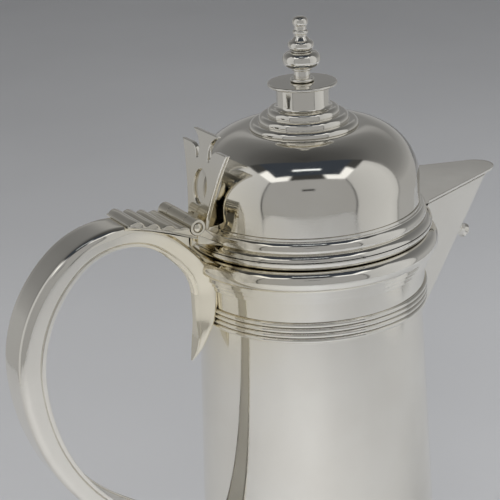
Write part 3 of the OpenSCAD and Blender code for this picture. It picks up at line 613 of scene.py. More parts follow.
outer_low, outer_top = spout_lines(0.0)
inner_low, inner_top = spout_lines(spout_t)
lip_low = toward(outer_top, outer_low, 5 * lip_soft)
outer_top[:, 1] += lip_flare * np.clip(outer_top[:, 1] / keel_r, -1, 1)
spout_loop = np.concatenate([
    outer_low[None], toward(lip_low, outer_low, lip_soft)[None], lip_low[None],
    corner(outer_low, outer_top, inner_top, lip_soft), corner(outer_top, inner_top, inner_low, lip_soft),
    toward(inner_top, inner_low, 4 * lip_soft)[None], inner_low[None]])
add_piece("spout", "flagon", "silver", [spout_loop], wrap_columns=False)

# %% Spout cover
cover_low, cover_high = node_box("spout_cover")
cover_seat_r = 46.6 * mm
cover_soft = 0.3 * mm
cover_gap = 0.3 * mm


def cover_outline(z):
    """The spout's outline, moved out over its tip at a height, ending at the lid's ring."""
    u, v = spout_section(0.0, cover_seat_r)
    tip = cover_high[0] - (cover_high[2] - z) / math.tan(keel)
    return np.stack([tip - v / math.sin(keel), u, np.full_like(u, z)], 1)


def cover_seat(outline):
    """Points on the lid's ring, spread evenly between the two ends of an outline."""
    half = math.atan2(outline[-1, 1], outline[-1, 0])
    angle = np.linspace(-half, half, len(outline))
    return np.stack([cover_seat_r * np.cos(angle), cover_seat_r * np.sin(angle), outline[:, 2]], 1)


plate_top, plate_under = cover_outline(cover_high[2]), cover_outline(cover_low[2] + cover_gap)
seat_top, seat_under = cover_seat(plate_top), cover_seat(plate_under)
cover_loop = np.concatenate([
    seat_top[None], toward(plate_top, seat_top, 4 * cover_soft)[None],
    corner(seat_top, plate_top, plate_under, cover_soft),
    corner(plate_top, plate_under, seat_under, cover_soft),
    toward(plate_under, seat_under, 4 * cover_soft)[None], seat_under[None]])
add_piece("spout_cover", "lid", "bright_silver", [cover_loop], wrap_columns=False)

# %% [markdown]
# ## Boss and bead on the keel
# A small flared collar with a ball sits on the keel. Both are turned shapes whose axis stands square to the
# keel, so they are turned upright first and then tipped into place. The foot of the collar drops with the
# round of the keel, because a flat foot would leave a dark gap on both sides.

# %% Boss and bead
boss_z = rim_z - 21.0 * mm
boss_r, boss_h, boss_sink = 5.3 * mm, 5.4 * mm, 0.2 * mm
bead_r = 2.1 * mm
cup_r, cup_z = bead_r + 0.1 * mm, boss_h - 1.7 * mm
lip_in_r, lip_out_r = bead_r + 0.8 * mm, bead_r + 1.1 * mm
waist_r, waist_z = bead_r + 0.7 * mm, 3.348 * mm
flare_z, drop_z = 1.62 * mm, 3.24 * mm
boss_soft = 0.12 * mm
boss_foot = np.array([spout_tip_x - (spout_edge_z - boss_z) / math.tan(keel), 0.0, boss_z])
boss_out = np.array([math.sin(keel), 0.0, -math.cos(keel)])
boss_up = np.array([math.cos(keel), 0.0, math.sin(keel)])


def on_keel(grid):
    """Tips an upright turned grid so that its axis leaves the keel squarely."""
    across, up, out = grid[..., 0:1], grid[..., 1:2], grid[..., 2:3]
    return boss_foot + across * np.array([0.0, 1.0, 0.0]) + up * boss_up + out * boss_out


collar = fine([[0.0, cup_z], [cup_r, cup_z], [lip_in_r, boss_h], [lip_out_r, boss_h], [waist_r, waist_z],
               [lip_out_r, flare_z], [boss_r, 0.0], [boss_r, -boss_sink], [0.0, -boss_sink]],
              boss_soft, closed=False)
collar_grid = turned(collar, 64)
drop = keel_r - np.sqrt(keel_r ** 2 - np.clip(np.abs(collar_grid[..., 0]), 0, boss_r) ** 2)
collar_grid[..., 2] -= drop * np.clip(1 - collar_grid[..., 2] / drop_z, 0, 1)
add_piece("spout_boss", "flagon", "bright_silver", [on_keel(collar_grid)], wrap_rows=False)
ball = arc((0.0, cup_z + bead_r), bead_r, -90, 90, 28)
add_piece("spout_bead", "flagon", "bright_silver", [on_keel(turned(ball, 48))], wrap_rows=False)

# %% [markdown]
# ## The handle
# A hollow handle is a bent channel of sheet silver, closed along its inner side by a flat strip. Both are
# one section carried along the same path: three arcs, each tangent to the next, and a straight end. Along
# an arc the section only turns about the arc's centre. Towards the neck it narrows to a wedge and leans in,
# at the bow it swells to the inside, and its last row is carried on until it lies on the pad.

# %% Handle path
tail_low, tail_high = node_box("handle_tail")
half_w = node_box("handle_shell")[1][1]
handle_t = 8.0 * mm
half_t = handle_t / 2
arch_r, bow_r, sweep_r = 33.0 * mm, 50.0 * mm, 90.0 * mm
arch_out = arch_r + half_t
tail_lean = 1.4 * mm
arch_x, arch_z = tail_low[0] + tail_lean + handle_t - arch_out, tail_high[2]
end_lean = math.degrees(math.atan2(4, 3))
bow_turn, end_turn = 180 - end_lean, 180 + end_lean


def turn_way(degrees):
    """Unit directions in the handle's plane, x to the spout and z up, for one or more angles."""
    return np.stack([np.cos(np.radians(degrees)), np.sin(np.radians(degrees))], -1)


arch_centre = np.array([arch_x, arch_z])
bow_centre = arch_centre - (bow_r - arch_r) * turn_way(bow_turn)
sweep_centre = bow_centre + np.array([sweep_r - bow_r, 0.0])
turns = [np.linspace(0, bow_turn, 64), np.linspace(bow_turn, 180, 36)[1:], np.linspace(180, end_turn, 40)[1:]]
rows_of_arc = [len(turn) for turn in turns]
turned_by = np.concatenate(turns)
path_out = turn_way(turned_by)
path = (np.repeat([arch_centre, bow_centre, sweep_centre], rows_of_arc, axis=0)
        + np.repeat([arch_r, bow_r, sweep_r], rows_of_arc)[:, None] * path_out)
end_way = np.array([-path_out[-1, 1], path_out[-1, 0]])
print("handle arcs:", round(np.hypot(*np.diff(path, axis=0).T).sum() / mm), "mm long")

# %% Handle section along the path
lean_in, lean_turn = 4.6 * mm, 52.0
swell = 0.5 * mm
inner_swell, swell_from = 2.2 * mm, 95.0
full_turn, narrow_turn = 100.0, 10.0
inner_pinch, pinch_power = 0.79, 1.2
flare_share = 0.8
heel_t = 2.0 * mm
end_rows = 5

ease = (1 + np.cos(np.pi * np.clip(turned_by / lean_turn, 0, 1))) / 2
fuller = np.sin(np.pi * np.clip((turned_by - swell_from) / (end_turn - swell_from), 0, 1)) ** 2
path[:, 0] += lean_in * ease
wide = np.clip((turned_by - narrow_turn) / (full_turn - narrow_turn), 0, 1)
wide = np.concatenate([wide ** 2 * (3 - 2 * wide), np.ones(end_rows)])[:, None]
side_share = flare_share + (1 - flare_share) * wide


def pinched(out):
    """How strongly a point of the section is drawn in: not at all outside, most at its inner side."""
    return np.clip((half_t - out) / handle_t, 0, 1) ** pinch_power


def along_handle(section, flush=0.0):
    """Carries a section (outwards, across) along the path to the pad; flush moves it in by the narrow end."""
    out, across = section[:, 0], section[:, 1]
    thicker = out - flush * (1 - wide[:-end_rows]) + swell * ease[:, None] * (out + half_t) / handle_t
    thicker = thicker - inner_swell * fuller[:, None] * (half_t - out) / handle_t
    bent = path[:, None, :] + path_out[:, None, :] * thicker[..., None]
    last = bent[-1]
    r0 = wall_r(last[:, 1]) + heel_t
    r1 = wall_slope * end_way[1]
    a = end_way[0] ** 2 - r1 ** 2
    b = last[:, 0] * end_way[0] - r0 * r1
    way = (-b - np.sqrt(b ** 2 - a * (last[:, 0] ** 2 + across ** 2 - r0 ** 2))) / a
    share = np.linspace(0, 1, end_rows + 1)[1:, None, None]
    rows = np.concatenate([bent, last + share * way[None, :, None] * end_way])
    drawn = across * side_share * (1 - inner_pinch * (1 - wide) * pinched(out))
    return np.stack([rows[..., 0], drawn, rows[..., 1]], -1)


print("outer side of the handle at the neck:", round(2 * half_w * side_share[0, 0] / mm, 1), "mm wide")

# %% Handle channel and strip
handle_round = 2.6 * mm
handle_wall = 1.3 * mm
handle_soft = 0.16 * mm
strip_depth = 0.7 * mm
seam_in, seam_half, seam_deep = 1.5 * mm, 0.3 * mm, 0.6 * mm

side_seam = np.array([[seam_in - seam_half - half_t, -half_w], [seam_in - half_t, seam_deep - half_w],
                      [seam_in + seam_half - half_t, -half_w]])
round_out, round_w = half_t - handle_round, half_w - handle_round
outer_side = np.vstack([
    [[-half_t, -half_w]], side_seam, arc((round_out, -round_w), handle_round, -90, 0, 12),
    arc((round_out, round_w), handle_round, 0, 90, 12), side_seam[::-1] * [1, -1], [[-half_t, half_w]]])
inner_w, inner_top_t = half_w - handle_wall, half_t - 2 * handle_wall
channel = np.vstack([outer_side, [[-half_t, inner_w], [inner_top_t, inner_w],
                                  [inner_top_t, -inner_w], [-half_t, -inner_w]]])
add_piece("handle_shell", "flagon", "silver", [along_handle(fine(channel, handle_soft, bend=10))],
          wrap_rows=False)
strip_low, strip_high = strip_depth - half_t, strip_depth + handle_wall - half_t
strip = [[strip_low, -inner_w], [strip_low, inner_w], [strip_high, inner_w], [strip_high, -inner_w]]
add_piece("handle_inner_strip", "flagon", "inner_silver",
          [along_handle(fine(strip, handle_soft, bend=20), strip_depth)], wrap_rows=False)

# %% [markdown]
# ## Tail and pad of the handle
# Below the arch the handle runs out in a narrow spur that hugs the neck and turns its tip out. Its two sides
# are smooth curves through a few measured places, so the same section is only scaled and moved row by row.
# The pad at the lower end is a disc bent round the wall: a flat grid of rings, pushed onto the cone.


# %% Handle tail
def smooth_through(z, heights, values):
    """A smooth curve of values over heights: straight pieces, averaged with a bell-shaped weight."""
    grid = np.linspace(heights[0], heights[-1], 400)
    bent = bell_average(np.interp(grid, heights, values)[:, None], 60, False)[:, 0]
    return np.interp(z, grid, bent)


tail_more = 2.4 * mm
tail_len = tail_high[2] - tail_low[2] + tail_more
tail_section = fine(outer_side, handle_soft, bend=10)
down = np.concatenate([np.linspace(0, 0.94, 50), np.linspace(0.94, 0.999, 14)[1:]])[:, None]
start_x = path[0, 0]


def down_tail(*stops):
    """A smooth curve down the tail through stops of (share of the way down, millimetres)."""
    place, value = np.array(stops).T
    return smooth_through(down, place, value * mm)


body_side = start_x + down_tail((0, 4.5), (0.1, 4.5), (0.25, 3.9), (0.42, 3.0), (0.52, 1.3), (0.67, -0.3),
                                (0.85, -2.7), (1, -6.3))
hand_side = start_x + down_tail((0, -4.0), (0.3, -4.0), (0.55, -3.9), (0.7, -4.2), (0.85, -5.0), (1, -6.5))
outer_half = down_tail((0, 6.8), (0.1, 6.8), (0.42, 6.0), (0.52, 5.4), (0.67, 4.2), (0.85, 2.6), (1, 0.5))
inner_half = down_tail((0, 1.43), (0.4, 1.43), (0.6, 2.6), (0.72, 2.9), (0.88, 2.0), (1, 0.4))
share_t = (tail_section[:, 0] + half_t) / handle_t
tail_half = outer_half - (outer_half - inner_half) * pinched(tail_section[:, 0])
tail_grid = np.stack(np.broadcast_arrays(
    hand_side + (body_side - hand_side) * share_t,
    tail_section[:, 1] / half_w * tail_half,
    tail_high[2] - tail_len * down), -1)
add_piece("handle_tail", "flagon", "silver", [tail_grid], wrap_rows=False)

# %% Heel pad
heel_low, heel_high = node_box("handle_heel_plate")
heel_r = heel_high[1]
heel_z = (heel_low[2] + heel_high[2]) / 2
pad_soft = 0.45 * mm
pad_sink = 0.3 * mm
pad = fine([[0.0, heel_t], [heel_r, heel_t], [heel_r, -pad_sink], [0.0, -pad_sink]], pad_soft,
           closed=False, run=1.2 * mm)
pad_grid = turned(pad, 96)
pad_y, pad_z = pad_grid[..., 0], heel_z + pad_grid[..., 1]
pad_x = -np.sqrt((wall_r(pad_z) + pad_grid[..., 2]) ** 2 - pad_y ** 2)
add_piece("handle_heel_plate", "flagon", "silver", [np.stack([pad_x, pad_y, pad_z], -1)], wrap_rows=False)

# %% [markdown]
# ## The hinge
# Behind the lid a block of half-round ridges climbs from the barrel to the top of the handle. Its side view
# is one closed outline: the barrel's hollow, the ridges as the higher of several circles, the arch below.
# It is carried across the hinge, drawn in at both ends for a small round, and narrowed to the back. Beside
# the handle its underside is lifted to a shelf, so that its ends stand out over the arch.

# %% Hinge block, side view
hinge_x, _, hinge_z = frame["joints"][0]["pos_m"]
block_low, block_high = node_box("hinge_block")
back_x, block_x = block_low[0], block_high[0]
barrel_r = 3.1 * mm
barrel_bed = barrel_r + 0.12 * mm
ridge_count = 4
ridge_pitch = 5.9 * mm
ridge_r = 3.3 * mm
ridge_rise = 1.2 * mm
ridge_step = 1.8 * mm
strap_t = 0.8 * mm
block_sink = 0.1 * mm
block_soft = 0.22 * mm


def circle_top(x, centre_x, centre_z, radius):
    """Height of the top of a circle over each x, or far below where the circle doesn't reach."""
    rise = np.sqrt(np.clip(radius ** 2 - (x - centre_x) ** 2, 0, None))
    return np.where(np.abs(x - centre_x) <= radius, centre_z + rise, -1.0)


ridge_i = np.arange(1, ridge_count + 1)
ridge_x = hinge_x - ridge_i * ridge_pitch
ridge_z = hinge_z + ridge_rise - ridge_r + (ridge_i - 1) * ridge_step
top_x = np.linspace(hinge_x - barrel_bed, back_x, 900)
tops = [circle_top(top_x, x, z, ridge_r) for x, z in zip(ridge_x, ridge_z)]
strap_top = circle_top(top_x, arch_x, arch_z, arch_out + strap_t)
slope_top = np.interp(top_x, [ridge_x[-1], block_x], [ridge_z[-1], hinge_z], left=-1.0)
block_top = np.stack([top_x, np.max(tops + [strap_top, slope_top], axis=0)], 1)
bed_arc = arc((hinge_x, hinge_z), barrel_bed, 262, 180, 20)
under_x = np.linspace(back_x, block_x, 60)
under = np.stack([under_x, circle_top(under_x, arch_x, arch_z, arch_out - block_sink)], 1)
block_side = fine(np.vstack([bed_arc, block_top, under]), block_soft, bend=9)
print("ridges at", (ridge_x / mm).round(1), "mm, tops at", ((ridge_z + ridge_r) / mm).round(1), "mm")

# %% Hinge block, carried across
barrel_half = node_box("outer_knuckles")[1][1]
block_back_half = 9.5 * mm
end_round = 0.45 * mm
shelf_x = hinge_x - 9.5 * mm
shelf_low = hinge_z - barrel_r - 1.3 * mm
handle_share, shelf_edge = 0.42, 0.3 * mm


def into_outline(outline):
    """Unit directions into a closed outline: its tangent, turned square to the side that its area lies on."""
    ahead, behind = np.roll(outline, -1, 0), np.roll(outline, 1, 0)
    tangent = (ahead - behind) / np.linalg.norm(ahead - behind, axis=1, keepdims=True)
    area = np.sum(outline[:, 0] * ahead[:, 1] - ahead[:, 0] * outline[:, 1])
    return np.stack([-tangent[:, 1], tangent[:, 0]], 1) * np.sign(area)


def quarter_round(size):
    """How far each row of a rounded end is drawn in and stops short, along a quarter of a circle."""
    bend = np.radians(np.linspace(90, 0, 6))
    return size * (1 - np.cos(bend)), size * (1 - np.sin(bend))


draw_in, stop_short = quarter_round(end_round)
side_x, side_z = block_side.T
block_half = np.interp(side_x, [back_x, block_x], [block_back_half, barrel_half])
shelf_high = circle_top(shelf_x, arch_x, arch_z, arch_out)
shelf = np.interp(side_x, [shelf_x, block_x], [shelf_high, shelf_low])
raised = np.stack([side_x, np.maximum(side_z, shelf)], 1)
rounded = raised[None] + into_outline(block_side)[None] * draw_in[:, None, None]
one_end = np.concatenate([rounded, raised[None], block_side[None]])
both_ends = np.concatenate([one_end, one_end[::-1]])
over_handle = handle_share * block_half
half_across = np.concatenate([-block_half + stop_short[:, None], [-over_handle - shelf_edge], [-over_handle]])
across = np.concatenate([half_across, -half_across[::-1]])
block_grid = np.stack([both_ends[..., 0], across, both_ends[..., 1]], -1)
add_piece("hinge_block", "flagon", "silver", [block_grid], wrap_rows=False)

# %% [markdown]
# ## Knuckles and pin
# The barrel is three tubes on one pin: the outer two belong to the vessel and the middle one to the lid.
# They are turned like the rings, only about the hinge's own axis. A shallow recess at each end of the barrel
# shows the pin's domed head as a bright dot in a dark ring.


# %% Barrel
def about_hinge(profile, sides=72):
    """Turns a profile of (radius, place along the hinge) about the hinge pin."""
    grid = turned(profile, sides)
    return np.stack([hinge_x + grid[..., 0], grid[..., 2], hinge_z + grid[..., 1]], -1)


pin_r = 1.3 * mm
bore_r = pin_r + 0.05 * mm
head_r = 1.8 * mm
head_sink = 0.2 * mm
knuckle_half = node_box("lid_knuckle")[1][1]
knuckle_start = knuckle_half + 0.3 * mm
pin_end = node_box("hinge_pin")[1][1]
recess_r = head_r + 0.25 * mm
recess = 0.5 * mm
knuckle_soft = 0.13 * mm
recess_y = barrel_half - recess
end_tube = fine([[bore_r, knuckle_start], [barrel_r, knuckle_start], [barrel_r, barrel_half],
                 [recess_r, barrel_half], [recess_r, recess_y], [bore_r, recess_y]], knuckle_soft)
add_piece("outer_knuckles", "flagon", "bright_silver",
          [about_hinge(end_tube), about_hinge(end_tube * [1, -1])])
middle_tube = fine([[bore_r, -knuckle_half], [barrel_r, -knuckle_half], [barrel_r, knuckle_half],
                    [bore_r, knuckle_half]], knuckle_soft)
add_piece("lid_knuckle", "lid", "bright_silver", [about_hinge(middle_tube)])
head_turn = np.linspace(0, math.pi / 2, 14)
head_y = barrel_half - head_sink
head = np.stack([head_r * np.sin(head_turn), head_y + (pin_end - head_y) * np.cos(head_turn)], 1)
under_head = barrel_half - 0.9 * recess
half_pin = np.vstack([head, [[head_r, under_head], [pin_r, under_head]]])
add_piece("hinge_pin", "flagon", "bright_silver",
          [about_hinge(np.vstack([half_pin, half_pin[::-1] * [1, -1]]), 40)], wrap_rows=False)

# %% [markdown]
# ## The lid
# Ring, sleeve, dome, roundels, drum, disc and finial are all turned on one axis, like a stack of work on a
# lathe. The dome has an upright side, a true quarter round and a flat crown, and its inside is the same curve
# moved in by the thickness of the sheet, because the open lid shows it. The lid's ring also carries the upper
# part of the rim's roll, which stops beside the spout.

# %% Lid ring
dome_low, dome_high = node_box("lid_dome")
dome_r, dome_z0, dome_top = dome_high[1], dome_low[2], dome_high[2]
lid_round = 3.2 * mm
lid_round_z = lid_z0 + 3.7 * mm
lid_fillet_h = 1.1 * mm
lid_fillet_step = 0.5 * mm
bezel_low, bezel_high = node_box("lid_bezel")
bezel_r = bezel_high[1]
roll_top = roll_z + roll_r - roll_sink
roll_back = lid_r - 0.6 * lid_round
roll_inner = roll_back - 1.0 * mm
spout_clear, spout_turn = 1.0 * mm, 0.015

lid_outline = turner_outline(
    lid_z0, dome_z0, half_round(lid_r, lid_round_z, lid_round), slab(lid_r - lid_round, lid_z0, dome_z0),
    slab(dome_r + 2 * lid_fillet_step, lid_round_z, dome_z0 - lid_fillet_h),
    slab(dome_r + lid_fillet_step, lid_round_z, dome_z0))
lid_ring = fine(np.vstack([lid_outline, [[bezel_r, dome_z0], [bezel_r, lid_z0]]]), edge_soft)
upper_roll = turner_outline(lid_z0, roll_top, shared_roll, slab(roll_back, lid_z0, roll_top))
upper_roll = fine(np.vstack([upper_roll, [[roll_inner, roll_top], [roll_inner, lid_z0]]]), edge_soft)
beside_spout = spout_gap(upper_roll[:, 0] + spout_clear, upper_roll[:, 1]) + spout_turn
add_piece("lid_rim", "lid", "bright_silver", [turned(lid_ring, 200, np.zeros(len(lid_ring))),
                                              turned(upper_roll, 200, beside_spout)], wrap_columns=False)

# %% Lid sleeve and dome
bezel_t = 1.0 * mm
dome_side_h = 8.5 * mm
dome_round = dome_top - dome_z0 - dome_side_h
dome_t = 1.3 * mm
stem_bore = 2.1 * mm


def turned_ring(name, slot, outline, inner_r, soft=edge_soft):
    """A ring of the lid: an outline outside and a plain cylinder inside."""
    back_of_ring = np.array([[inner_r, outline[-1, 1]], [inner_r, outline[0, 1]]])
    add_piece(name, "lid", slot, [turned(fine(np.vstack([outline, back_of_ring]), soft))])


turned_ring("lid_bezel", "inner_silver", np.array([[bezel_r, bezel_low[2]], [bezel_r, bezel_high[2]]]),
            bezel_r - bezel_t)
shoulder = (dome_r - dome_round, dome_z0 + dome_side_h)
dome_profile = np.vstack([
    [[dome_r, dome_z0]], arc(shoulder, dome_round, 0, 90, 120), [[stem_bore, dome_top]],
    [[stem_bore, dome_top - dome_t]], arc(shoulder, dome_round - dome_t, 90, 0, 120),
    [[dome_r - dome_t, dome_z0]]])
add_piece("lid_dome", "lid", "silver", [turned(fine(dome_profile, edge_soft, bend=2.5, run=2 * mm), 192)])

# %% Roundels, drum and disc
crown_low, crown_high = node_box("crown_mount")
crown_r = crown_high[1]
crown_step = 3.7 * mm
crown_h = 2.7 * mm
crown_round = 2.0 * mm
drum_low, drum_high = node_box("finial_drum")
drum_z, disc_z = drum_low[2], drum_high[2]
drum_r = 10.6 * mm
drum_t = 1.2 * mm
drum_flare = drum_high[1] - drum_r
disc_low, disc_high = node_box("finial_disc")
disc_half = (disc_high[2] - disc_low[2]) / 2
disc_soft = 0.08 * mm


def roundel(i):
    """Reach of the i-th roundel: a cylinder whose upper edge is a quarter round."""
    radius = crown_r - i * crown_step
    top = crown_high[2] - (2 - i) * crown_h
    edge = half_round(radius, top - crown_round, crown_round)
    return lambda z: np.maximum(slab(radius, 0.0, top - crown_round)(z),
                                np.where(z >= top - crown_round, edge(z), 0.0))


turned_ring("crown_mount", "bright_silver",
            turner_outline(crown_low[2], drum_z, *[roundel(i) for i in range(3)]), stem_bore)
turned_ring("finial_drum", "silver", turner_outline(
    drum_z, disc_z, slab(drum_r, drum_z, disc_z),
    hollow(drum_flare, drum_r + drum_flare, drum_z, drum_z + drum_flare)), drum_r - drum_t)
turned_ring("finial_disc", "bright_silver", turner_outline(
    disc_z, disc_high[2], half_round(disc_high[1], disc_z + disc_half, disc_half)), stem_bore, disc_soft)

# %% Finial
finial_low, finial_high = node_box("finial")
finial_z, finial_tip = disc_high[2], finial_high[2]
knop_r, knop_round = finial_high[1], 3.15 * mm
knop_z = finial_z + 8.9 * mm
knop_neck_r, knop_neck_h = 3.7 * mm, 0.4 * mm
upper_r, upper_round = 5.2 * mm, 1.95 * mm
upper_z = finial_z + 14.5 * mm
foot_r, foot_round = 4.8 * mm, 0.8 * mm
low_neck_r = 3.3 * mm
collar_r, collar_round = 4.2 * mm, 0.6 * mm
collar_z = finial_z + 5.15 * mm
core_r = 2.45 * mm
button_r, button_round = 3.1 * mm, 2.2 * mm
small_bead = 1.0 * mm
small_bead_z = finial_tip - 6.1 * mm
slope_z = upper_z + upper_round - 0.1 * mm
slope_h = 1.6 * mm
stem_r = 2.0 * mm
finial_soft = 0.1 * mm


def neck_slope(z):
    """Reach of the cone between the upper knop and the core."""
    reach = np.interp(z, [slope_z, slope_z + slope_h], [knop_neck_r, core_r])
    return np.where((z >= slope_z) & (z <= slope_z + slope_h), reach, 0.0)


finial_outline = turner_outline(
    finial_low[2], finial_tip,
    slab(stem_r, finial_low[2], finial_z),
    slab(core_r, finial_z, finial_tip - button_round),
    half_round(foot_r, finial_z + foot_round, foot_round),
    slab(low_neck_r, finial_z, knop_z),
    half_round(collar_r, collar_z, collar_round),
    slab(collar_r - collar_round, collar_z - collar_round, knop_z),
    half_round(knop_r, knop_z, knop_round),
    slab(knop_neck_r, knop_z, knop_z + knop_round + knop_neck_h),
    half_round(upper_r, upper_z, upper_round),
    neck_slope,
    half_round(button_r, small_bead_z, small_bead),
    half_round(button_r, finial_tip - button_round, button_round))
finial_profile = np.vstack([[[0.0, finial_low[2]]], finial_outline, [[0.0, finial_tip]]])
add_piece("finial", "lid", "bright_silver", [turned(fine(finial_profile, finial_soft, closed=False), 96)],
          wrap_rows=False)

# %% [markdown]
# ## Tongue and thumbpiece
# A thick tongue joins the lid to its knuckle, with sloping wings and a web that rises to the tube. All are
# side views carried across, like the hinge block. The thumbpiece is a flat plate with a pierced oval and two
# side lobes: a filled curve is the shortest way to a plate with a hole, and it becomes a mesh before it is
# set in place.


# %% Tongue
def carried_across(side_view, half, edge):
    """Carries a closed side view (x, z) across the hinge, drawn in at both ends by a small round."""
    drawn, short = quarter_round(edge)
    rows = side_view[None] + into_outline(side_view)[None] * drawn[:, None, None]
    rows = np.concatenate([rows, rows[::-1]])
    place = np.concatenate([short - half, (half - short)[::-1]])
    return np.stack(np.broadcast_arrays(rows[..., 0], place[:, None], rows[..., 1]), -1)


leaf_half = node_box("lid_hinge_leaf")[1][1]
leaf_t = 6.0 * mm
leaf_top = hinge_z - barrel_r - 0.4 * mm
leaf_reach = dome_r - 0.4 * mm
leaf_soft, leaf_edge = 0.25 * mm, 0.4 * mm
foot_w = 7.3 * mm
wing_bed = barrel_r + 0.4 * mm
wing_start = hinge_x + 0.5 * mm
wing_fall, wing_t, wing_root = 7.6 * mm, 3.3 * mm, 7.1 * mm
web_x, web_low, web_edge = hinge_x + barrel_r + 1.4 * mm, leaf_top - 1.0 * mm, 0.3 * mm
web_r = barrel_r - 0.1 * mm

tongue = fine([[hinge_x, leaf_top - leaf_t], [-leaf_reach, leaf_top - leaf_t], [-leaf_reach, leaf_top],
               [hinge_x, leaf_top]], leaf_soft)
wing = fine(np.vstack([
    arc((hinge_x, hinge_z), wing_bed, -82, -20, 20),
    [[-leaf_reach, hinge_z - wing_fall], [-leaf_reach, hinge_z - wing_fall - wing_t],
     [wing_start, hinge_z - wing_root]]]), leaf_soft)
web = fine(np.vstack([[[hinge_x, web_low], [web_x, web_low], [web_x, hinge_z]],
                      arc((hinge_x, hinge_z), web_r, 0, -90, 20)]), leaf_soft / 2)
add_piece("lid_hinge_leaf", "lid", "silver", [
    carried_across(tongue, foot_w, leaf_edge), carried_across(wing, leaf_half, leaf_edge),
    carried_across(web, knuckle_half, web_edge)], wrap_rows=False)

# %% Thumbpiece outline
thumb_t, thumb_h = 2.0 * mm, 36.0 * mm
lobe_half_w = node_box("thumbpiece")[1][1]
lobe_h, lobe_round = 30.2 * mm, 4.8 * mm
top_half_w, top_edge_h = 9.0 * mm, 0.6 * mm
thumb_neck_w = 3.6 * mm
cut_w, cut_h = 1.7 * mm, 4.2 * mm
foot_rise = 3.0 * mm
flare = 1.0 * mm
pierce_half_w, pierce_half_h = 5.0 * mm, 7.0 * mm
pierce_mid = 14.6 * mm
thumb_soft = 0.12 * mm

bay_z = lobe_h - cut_h / 2
flare_w, flare_h = top_half_w - thumb_neck_w, thumb_h - top_edge_h - bay_z
bay_r = (flare_w ** 2 + flare_h ** 2) / (2 * flare_w)
bay_top = 180 - math.degrees(math.asin(flare_h / bay_r))
slot_x = thumb_neck_w + cut_w
up_blade = np.linspace(0, 1, 30)
blade = np.stack([foot_w + (lobe_half_w - foot_w) * up_blade - 4 * flare * up_blade * (1 - up_blade),
                  foot_rise + (lobe_h - foot_rise) * up_blade], 1)
half_outline = np.vstack([
    [[foot_w, -thumb_t / 2]], blade, [[slot_x + lobe_round, lobe_h]],
    arc((slot_x + lobe_round, lobe_h - lobe_round), lobe_round, 90, 176, 20),
    arc((slot_x - cut_w / 2, lobe_h - cut_h), cut_w / 2, 0, -180, 14),
    arc((thumb_neck_w + bay_r, bay_z), bay_r, 190, bay_top, 24),
    [[top_half_w, thumb_h]]])
thumb_outline = fine(np.vstack([half_outline, half_outline[::-1] * [-1, 1]]), thumb_soft, bend=9)
oval_angle = np.linspace(0, 2 * np.pi, 72, endpoint=False)
oval = np.stack([pierce_half_w * np.cos(oval_angle), pierce_mid + pierce_half_h * np.sin(oval_angle)], 1)
print("thumbpiece outline:", len(thumb_outline), "points, bays of", round(bay_r / mm, 1), "mm radius")


# %% Thumbpiece plate
def flat_plate(name, loops, thickness, edge):
    """A plate in its own plane: each loop is a closed line of the outline, and inner loops become holes."""
    curve = bpy.data.curves.new(name, "CURVE")
    curve.dimensions = "2D"
    curve.fill_mode = "BOTH"
    curve.extrude = thickness / 2 - edge
    curve.bevel_depth = edge
    curve.bevel_resolution = 3
    curve.offset = -edge
    for loop in loops:
        line = curve.splines.new("POLY")
        line.points.add(len(loop) - 1)
        flat_points = np.column_stack([loop, np.zeros(len(loop)), np.ones(len(loop))])
        line.points.foreach_set("co", flat_points.ravel())
        line.use_cyclic_u = True
    holder = bpy.data.objects.new(name, curve)
    bpy.context.scene.collection.objects.link(holder)
    mesh = bpy.data.meshes.new_from_object(holder.evaluated_get(bpy.context.evaluated_depsgraph_get()))
    bpy.data.objects.remove(holder)
    return mesh


thumb_edge = 0.35 * mm
thumb_x = hinge_x + 7.3 * mm
thumb_lean = math.radians(10.5)
plate = flat_plate("thumbpiece", [thumb_outline, oval], thumb_t, thumb_edge)
flat = np.empty(len(plate.vertices) * 3)
plate.vertices.foreach_get("co", flat)
plate_axes = np.array([[0.0, 1.0, 0.0], [math.sin(thumb_lean), 0.0, math.cos(thumb_lean)],
                       [math.cos(thumb_lean), 0.0, -math.sin(thumb_lean)]])
placed = np.array([thumb_x, 0.0, leaf_top]) + flat.reshape(-1, 3) @ plate_axes
plate_faces = [list(polygon.vertices) for polygon in plate.polygons]
dress(closed_mesh("thumbpiece", placed, plate_faces), "thumbpiece", "lid", "silver", 35)

# %% [markdown]
# ## Pieces that stay as they are
# Flat pieces gain nothing from a new surface: the bottom plate, the washer and nut inside the lid and the
# saddle behind the handle keep the frame's mesh and only take their silver.

# %% Frame pieces in silver
kept = {"base_plate": "inner_silver", "finial_washer": "inner_silver", "finial_nut": "inner_silver",
        "handle_upper_seat": "silver"}
for node, slot in kept.items():
    mesh = frame["nodes"][node].data
    mesh.materials.clear()
    mesh.materials.append(finishes[slot])
print("kept from the frame:", sorted(kept))

# %% [markdown]
# ## The floor
# Polished silver is mostly a picture of what stands round it, and the pale floor is the lower half of that
# picture. It is narrow beside the flagon, so that the silver mirrors more of the walls, and it widens to the
# back, so that its edges stay out of sight. A faint noise keeps the paper from being one flat colour.

